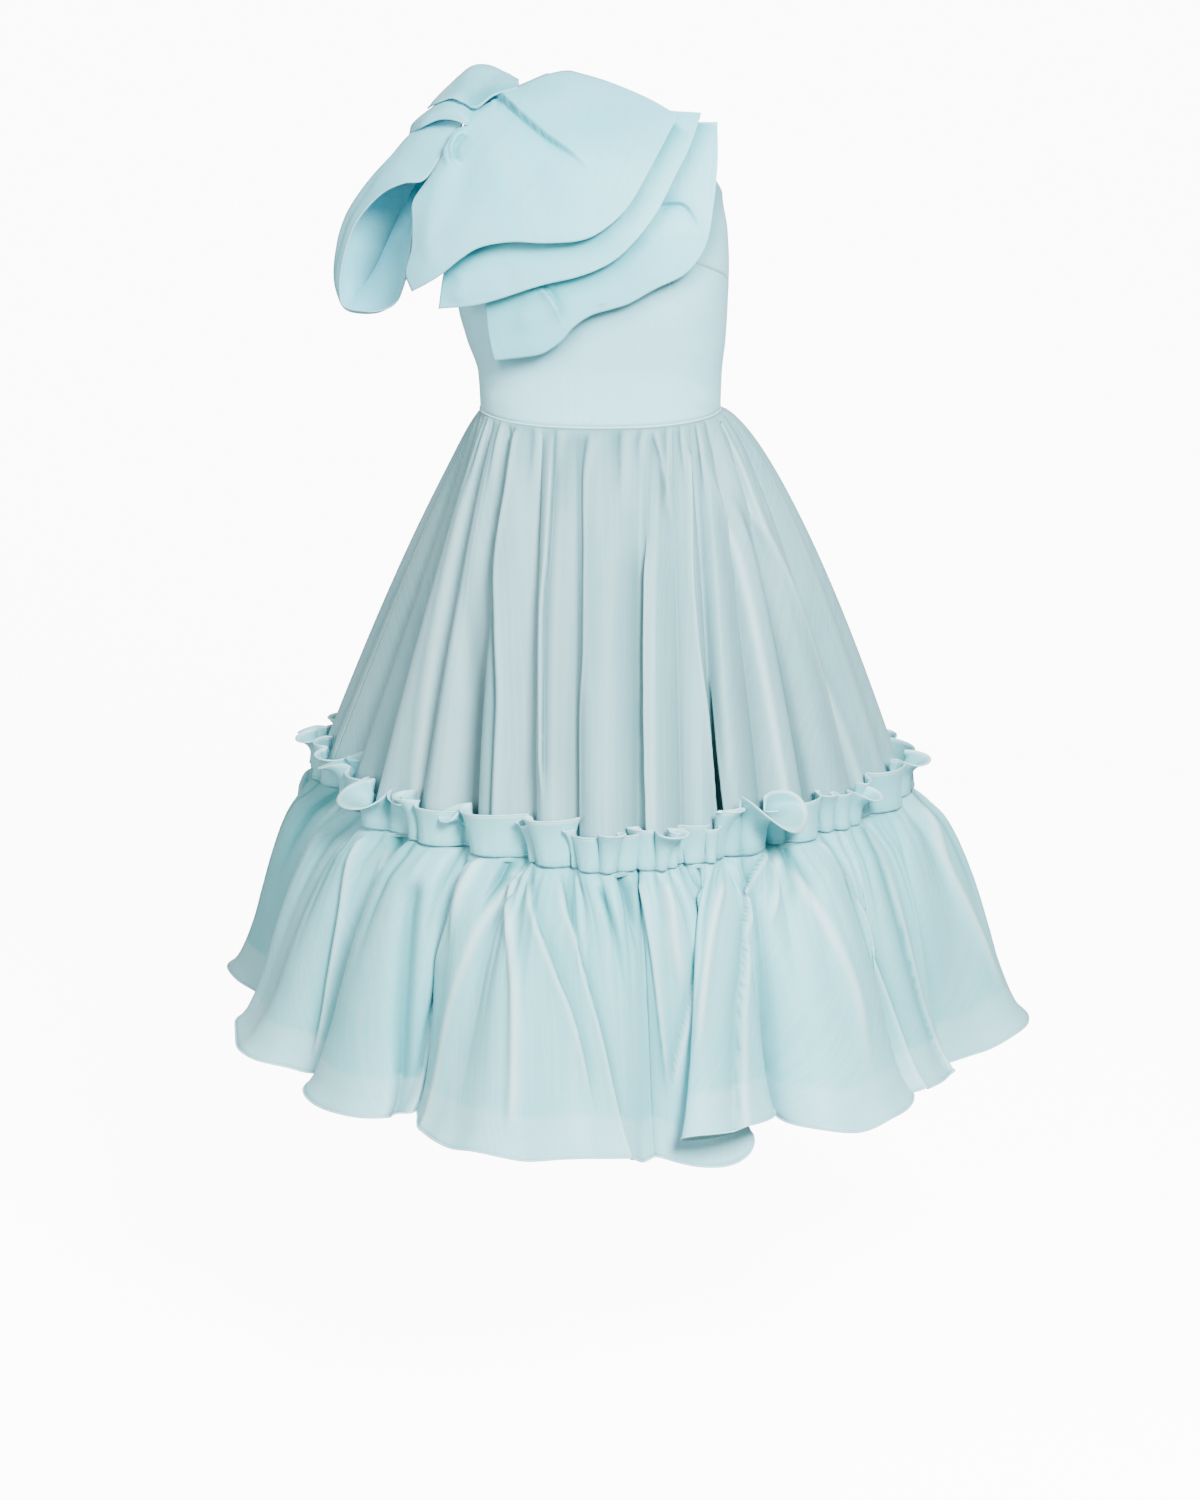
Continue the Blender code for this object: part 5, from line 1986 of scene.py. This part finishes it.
@dataclass
class Flounce:
    """Gathered lower tier from the gathering seam to the hem."""

    skirt: Skirt
    room: Workroom
    heading: Heading
    clear: float = 0.0020
    rows: int = 64
    # Height of the single-layer hem band, painted paler for the light through it.
    band: float = 0.040
    first_column: int = -9
    # Each lobe: columns, bearing, radius, depth, lean, spread and height at the hem.
    lobes: Rows = (
        (10, -122, 499, 70, 3, 0, -712), (14, -97, 431, 60, -2, 2, -731),
        (10, -62, 409, 60, 0, 3, -743), (24, -35, 440, 74, -2, 4, -742),
        (8, 9, 376, 30, -3, 2, -780), (10, 27, 420, 40, 13, 6, -722), (16, 31, 450, 90, 0, 5, -741),
        (8, 55, 432, 42, -2, 2, -738), (18, 68, 512, 56, -3, 2, -728),
        (11, 112, 480, 56, 0, 2, -726), (10, 131, 470, 60, 4, 3, -730),
        (11, 149, 474, 52, 0, 2, -733), (10, 167, 456, 66, -4, 3, -735),
        (11, 184, 462, 54, 3, 2, -735), (10, 203, 470, 62, -3, 3, -731),
        (11, 220, 492, 60, -3, 2, -720),
    )
    creases: Folds = (
        Pleat(LAP, ((0.03, 12.4), (0.39, 13.3), (0.71, 13.4), (0.96, 13.6)), 20, 8.0, 0.04),
        Pleat(TROUGH, ((0.08, 21.1), (0.34, 21.9), (0.71, 22.7), (1.0, 23.7)), 12, 14.0, 0.1),
        Pleat(LAP, ((0.02, 27.3), (0.17, 27.1), (0.39, 25.9), (0.69, 24.4), (1.0, 24.2)), 24, 8.0),
        Pleat(RIDGE, ((0.0, 28.3), (0.13, 28.1), (0.34, 28.0)), 8, 5.0, 0.03, 0.2),
        Pleat(RIDGE, ((0.03, 31.0), (0.19, 34.1), (0.47, 35.7), (0.64, 36.0), (0.94, 36.3)),
            9, 5.5),
        Pleat(LAP_LEFT, ((0.02, 34.3), (0.09, 35.7), (0.33, 38.3), (0.59, 40.2), (0.90, 41.4)),
            14, 6.0, 0.03, 0.3),
        Pleat(LAP_LEFT, ((0.0, 38.0), (0.10, 38.9), (0.29, 40.4), (0.55, 42.1), (0.80, 43.1),
            (1.0, 43.8)), 16, 6.0, 0.1),
        Pleat(RIDGE, ((0.0, 32.0), (0.3, 30.4), (0.7, 29.4), (1.0, 29.4)), 26, 4.0, 0.2),
        Pleat(LAP, ((0.03, 49.1), (0.30, 49.7), (0.50, 50.0), (0.85, 50.6)), 11, 5.0, 0.03, 0.3),
        Pleat(RIDGE, ((0.03, 52.0), (0.22, 51.7), (0.43, 52.3)), 8, 5.0, 0.03, 0.2),
        Pleat(LAP, ((0.06, 59.6), (0.17, 57.6), (0.30, 53.6), (0.56, 51.6), (0.80, 50.5)),
            14, 6.0, 0.06),
        Pleat(RIDGE, ((0.06, 62.3), (0.25, 61.7), (0.56, 61.3), (0.8, 61.2)), 9, 6.0, 0.05, 0.3),
        Pleat(LAP, ((0.0, 70.7), (0.04, 69.1), (0.14, 66.8), (0.29, 64.6), (0.61, 63.4),
            (1.0, 63.1)), 18, 9.0, 0.03),
        Pleat(RIDGE, ((0.03, 72.6), (0.12, 71.4), (0.30, 69.4)), 9, 5.0, 0.03, 0.15),
        Pleat(LAP_LEFT, ((0.0, 77.4), (0.07, 78.1), (0.32, 82.0), (0.71, 84.6), (1.0, 85.6)),
            16, 7.0, 0.03),
        Pleat(LAP, ((0.0, 86.4), (0.20, 86.6), (0.50, 86.8), (1.0, 88.4)), 14, 7.0, 0.03),
        Pleat(RIDGE, ((0.04, 73.0), (0.3, 74.6), (0.6, 75.6), (0.92, 75.4)), 14, 4.0, 0.1, 0.4),
        Pleat(TROUGH, ((0.04, 78.6), (0.3, 78.8), (0.62, 79.2)), 9, 4.0, 0.06, 0.35, 5.0),
        Pleat(TROUGH, ((0.03, 43.8), (0.2, 44.6), (0.46, 45.4)), 7, 6.0, 0.04, 0.3, 5.0),
        Pleat(RIDGE, ((0.03, 97.7), (0.25, 96.3), (0.60, 97.4), (0.94, 98.3)), 12, 5.0, 0.05, 0.3),
        Pleat(TROUGH, ((0.0, 15.2), (0.08, 15.6), (0.20, 17.0)), 8, 12.0, 0.01, 0.15, 10.0),
        Pleat(TROUGH, ((0.0, 30.2), (0.08, 30.4), (0.22, 30.0)), 6, 9.0, 0.01, 0.18, 7.0),
        Pleat(TROUGH, ((0.0, 46.0), (0.09, 46.6), (0.30, 46.9)), 8, 14.0, 0.01, 0.22, 9.0),
        Pleat(TROUGH, ((0.0, 58.4), (0.10, 58.0), (0.22, 57.0)), 7, 10.0, 0.01, 0.18, 8.0),
        Pleat(TROUGH, ((0.0, 73.6), (0.10, 73.0), (0.22, 72.0)), 7, 8.0, 0.01, 0.2, 6.0),
        Pleat(LAP, ((0.03, 108.0), (0.4, 109.0), (1.0, 109.6)), 18, 7.0, 0.05),
        Pleat(LAP_LEFT, ((0.02, 117.0), (0.35, 119.0), (0.9, 119.8)), 16, 6.0, 0.05, 0.3),
        Pleat(LAP, ((0.02, 128.0), (0.3, 126.4), (1.0, 125.6)), 16, 7.0, 0.05),
        Pleat(RIDGE, ((0.02, 133.0), (0.4, 133.6), (0.9, 134.2)), 10, 5.0, 0.05, 0.3),
        Pleat(LAP_LEFT, ((0.03, 139.0), (0.4, 141.0), (1.0, 141.8)), 16, 7.0, 0.05),
        Pleat(LAP, ((0.02, 150.0), (0.3, 148.8), (0.8, 148.0)), 14, 6.0, 0.05, 0.3),
        Pleat(RIDGE, ((0.02, 155.0), (0.4, 154.2), (0.95, 153.4)), 10, 5.0, 0.05, 0.3),
        Pleat(LAP_LEFT, ((0.02, 161.0), (0.35, 162.6), (1.0, 163.8)), 16, 7.0, 0.05),
        Pleat(LAP, ((0.03, 172.0), (0.3, 170.8), (0.9, 170.0)), 16, 6.0, 0.05, 0.3),
        Pleat(LAP_LEFT, ((0.02, 180.0), (0.4, 181.2), (1.0, 182.0)), 16, 7.0, 0.05),
    )
    # Column, drop, their half widths and strength.
    stains: Rows = (
        (15.1, 0.10, 0.9, 0.035, 0.20), (20.0, 0.25, 0.6, 0.03, 0.16),
        (19.4, 0.36, 0.7, 0.03, 0.16), (140.0, 0.55, 0.8, 0.03, 0.16),
    )
    flare: Rows = (
        (0, 0), (0.07, 0.16), (0.13, 0.28), (0.36, 0.50), (0.61, 0.66), (0.75, 0.74), (0.94, 0.90),
        (1, 1),
    )

    def hem_ring(self, columns: Array) -> tuple[Array, Array]:
        """Hem at skirt columns.

        Args:
            columns: Columns once round.

        Returns:
            The hem's points and how high each lies on its lobe, from 0 to 1.
        """
        rows = np.array(self.lobes)
        starts = np.concatenate([[0], np.cumsum(rows[:, 0])])
        place = (columns - self.first_column) % starts[-1]
        lobe = np.searchsorted(starts, place, side="right") - 1
        before, after = np.roll(rows, 1, axis=0), np.roll(rows, -1, axis=0)
        after[-1, 1] += 360
        share = (place - starts[lobe]) / rows[lobe, 0]
        wave = self.skirt.fold_wave(share)
        width = after[lobe, 1] - rows[lobe, 1]
        turn = rows[lobe, 1] + width * share - rows[lobe, 4] * wave
        turn = np.radians(turn - rows[lobe, 5] * np.sin(FULL_TURN * share))
        near = np.where((share < 0.5)[:, None], before[lobe], after[lobe])
        trough = np.where(share < 0.5, rows[lobe, 3], after[lobe, 3])
        blend = 0.75 - 0.25 * np.cos(FULL_TURN * share)
        crest = near[:, 2] + (rows[lobe, 2] - near[:, 2]) * blend
        height = near[:, 6] + (rows[lobe, 6] - near[:, 6]) * blend
        radius = (crest - trough * (1 - wave)) * MM
        ring = np.stack([radius * np.sin(turn), -radius * np.cos(turn), height * MM], axis=-1)
        return ring, wave

    def smooth(self, columns: Array, hem: Array, drops: Array) -> Array:
        """The flounce's surface before its creases.

        Args:
            columns: Columns once round.
            hem: Points of the hem.
            drops: Drop of each row.

        Returns:
            Its points, row by row.
        """
        skirt, grid = self.skirt, []
        ring, out = skirt.seam_ring(columns, FRILL_FINER)
        top = skirt.seam_z - skirt.torso.seam_gap
        for drop, share in zip(drops, table(self.flare, drops)):
            fade = max(0.0, 1 - drop / 0.30) ** 2
            gather = SEAM_GATHER * fade * skirt.gathered(columns)
            start = ring + out * (TIER_WALL + self.clear + gather)[:, None]
            row = start + (hem - start) * share
            row[:, 2] = top + (hem[:, 2] - skirt.seam_z) * drop
            grid.append(row)
        return np.stack(grid)

    def build(self) -> None:
        """Builds the flounce's front and back with their rolled hems."""
        columns = self.skirt.columns(FRILL_FINER)
        place = self.skirt.place(columns)
        hem, wave = self.hem_ring(columns)
        drops = np.linspace(0, 1, self.rows) ** 1.15
        grid = self.smooth(columns, hem, drops)
        normals = grid_normals(grid, True)
        drop = drops[:, None]
        bent = place[None, :] + 0.012 * ring_noise(place, knots=36, seed=31)[None, :] * drop**1.2
        near_seam = soft_step(drop, 0.0, 0.05) * np.exp(-((drop / 0.30) ** 1.6))
        gathers = np.sin(math.pi * self.heading.crests(columns)[0])[None, :]
        fine = uneven_ridges(bent, 130, seed=32, jitter=0.4, narrow=0.8)
        gathers = 0.75 * gathers**0.7 + 0.25 * fine
        middle = uneven_ridges(bent, 46, seed=33, jitter=0.4, narrow=0.9)
        halfway = soft_step(drop, 0.02, 0.2) * np.exp(-((drop / 0.62) ** 2.2))
        rise = 8.0 * (gathers - 0.6) * near_seam
        rise = rise + 5.5 * (middle - 0.4) * halfway
        rise = rise + 5.0 * (uneven_ridges(bent, 26, seed=34) - 0.35) * soft_step(drop, 0.2, 0.6)
        ripples = ring_noise(place, knots=130, seed=35)[None, :]
        rise = rise + 2.0 * ripples * soft_step(drop, 0.80, 1.0)
        # Painted shade between the gathers near the seam and in the troughs of the middle folds.
        shade = np.clip(1 - 1.5 * gathers, 0, 1) ** 1.3 * np.exp(-((drop / 0.28) ** 2))
        shade = 0.85 * shade + 0.25 * (1 - middle) ** 4 * np.exp(-((drop / 0.45) ** 2))
        rise, shade, shine = self.skirt.lay(self.creases, grid, columns, rise * MM, shade, drops)
        grid = grid + normals * rise[..., None]
        grid[..., 2] += 0.0035 * ring_noise(place, knots=84, seed=36) * drop**5
        # The single-layer hem band, painted paler for the light that shows through it.
        fall = grid[..., 2] - grid[-1:, :, 2]
        band = 1 - soft_step(fall, self.band - 0.0022, self.band + 0.0022)
        # Painted shade deep in the lobes' troughs, and on the back part beside the wearer's right
        # side seam.
        hollow = 0.45 * (1 - wave)[None, :] ** 2.5 * soft_step(drop, 0.15, 0.7) + shade
        behind = np.maximum(soft_step(columns, 166, 178), 1 - soft_step(columns, -2.4, 0.4))
        slack = soft_step(drop, 0.0, 0.03) * np.exp(-((drop / 0.42) ** 2))
        marks = {
            Mark.HOLLOW.value: np.clip(hollow + 0.46 * behind, 0, 0.9),
            Mark.BAND.value: np.clip(0.25 * band + 0.65 * shine, 0, 0.8),
            Mark.STAIN.value: spots(self.stains, columns[None, :], drop),
            "around": bent,
            "slack": self.skirt.off_seams(columns) * slack,
        }
        for part, sheet in self.skirt.sheets(
            ("flounce", "flounce_cloth"), self.room.flounce, grid, marks,
            Gathers=170.0, Height=0.0013, Seed=17.0,
        ):
            roll = line_piece(
                f"hem_{part}_roll", sheet.points[-1] + (0, 0, 0.0006), self.room.rolls,
                self.room.edge, "flounce_cloth", Radius=0.0011, Step=0.005,
            )
            sheet.sew_in(f"flounce_{part}", "gathered", [f"frill_{part}_cloth"], [roll])


# ------------------------------------------------------------------ studio


@dataclass(frozen=True)
class Studio:
    """Camera, floor and soft light."""

    floor_z: float = -1.152
    camera_place: Row = (0.0, -3.6, 0.45)
    camera_down: float = 13.29
    lens: float = 76.2
    sky_light: float = 0.5
    sky_glow: float = 11.0
    # Half width of the floor and how high it rises behind, where it begins to rise, and its bend.
    floor_reach: float = 9.0
    floor_back: float = 3.0
    floor_bend: float = 2.5

    def _softbox(self, name: str, place: Row, target: Row, size: float, power: float) -> None:
        """Adds a square soft light that faces a target.

        Args:
            name: Name of the light.
            place: Where it hangs.
            target: What it faces.
            size: Length of its side.
            power: Its strength in watts.
        """
        light = bpy.data.lights.new(name, "AREA")
        light.size = size
        light.energy = power
        lamp = bpy.data.objects.new(name, light)
        lamp.location = place
        aim = np.array(target) - np.array(place)
        flat = math.hypot(aim[0], aim[1])
        lamp.rotation_euler = (math.atan2(flat, -aim[2]), 0, math.atan2(-aim[0], aim[1]))
        bpy.context.scene.collection.objects.link(lamp)

    def build(self) -> None:
        """Sets up the studio."""
        data = bpy.data.cameras.new("studio_camera")
        data.lens = self.lens
        data.sensor_width = 36
        camera = bpy.data.objects.new("studio_camera", data)
        camera.location = self.camera_place
        camera.rotation_euler = (math.radians(90 - self.camera_down), 0, 0)
        bpy.context.scene.collection.objects.link(camera)
        bpy.context.scene.camera = camera
        self._floor()
        world = bpy.data.worlds.new("studio_world")
        world.use_nodes = True
        tree = world.node_tree
        sky = tree.nodes["Background"]
        sky.inputs["Color"].default_value = (1.0, 0.995, 0.99, 1.0)
        seen = add_node(tree, "ShaderNodeLightPath").outputs["Is Camera Ray"]
        ends = {"Value": seen, "To Min": self.sky_light, "To Max": self.sky_glow}
        glow = add_node(tree, "ShaderNodeMapRange", ends)
        tree.links.new(glow.outputs["Result"], sky.inputs["Strength"])
        bpy.context.scene.world = world
        self._softbox("key_light", (1.2, -3.1, 1.8), (0, 0, -0.2), 1.1, 470)
        self._softbox("fill_light", (-2.4, -3.0, 0.3), (0, 0, -0.3), 1.6, 95)
        self._softbox("back_light", (1.6, 3.2, 2.2), (0, 0, -0.2), 1.6, 40)

    def _floor(self) -> None:
        """Makes the floor, which bends up into a wall behind."""
        reach, bend, z = self.floor_reach, self.floor_bend, self.floor_z
        turns = np.radians(np.linspace(0, 90, 24))
        profile = [(-reach, z)]
        profile += [
            (self.floor_back + bend * math.sin(t), z + bend * (1 - math.cos(t))) for t in turns
        ]
        profile += [(self.floor_back + bend, reach)]
        points = [(x, y, z) for y, z in profile for x in (-reach, reach)]
        faces = [(2 * n, 2 * n + 1, 2 * n + 3, 2 * n + 2) for n in range(len(profile) - 1)]
        mesh = bpy.data.meshes.new("floor")
        mesh.from_pydata(points, [], faces)
        mesh.shade_smooth()
        mesh.materials.append(FloorFinish().material())
        floor = bpy.data.objects.new("floor", mesh)
        bpy.context.scene.collection.objects.link(floor)
        floor.visible_diffuse = False
        floor.visible_glossy = False


def main() -> None:
    """Builds the gown and its studio, and reports each part."""
    logging.basicConfig(level=logging.INFO, format="%(message)s")
    torso = Torso()
    room = Workroom()
    skirt = Skirt(torso, room)
    bow = Bow(torso, room)
    heading = Heading(skirt, room)
    for label, part in (
        ("bodice", Bodice(torso, room, (bow.leaves[-1].edge_shade(),))),
        ("bow", bow),
        ("skirt", skirt),
        ("heading frill", heading),
        ("flounce", Flounce(skirt, room, heading)),
        ("studio", Studio()),
    ):
        part.build()
        LOG.info("%s built", label)


if __name__ == "__main__":
    main()
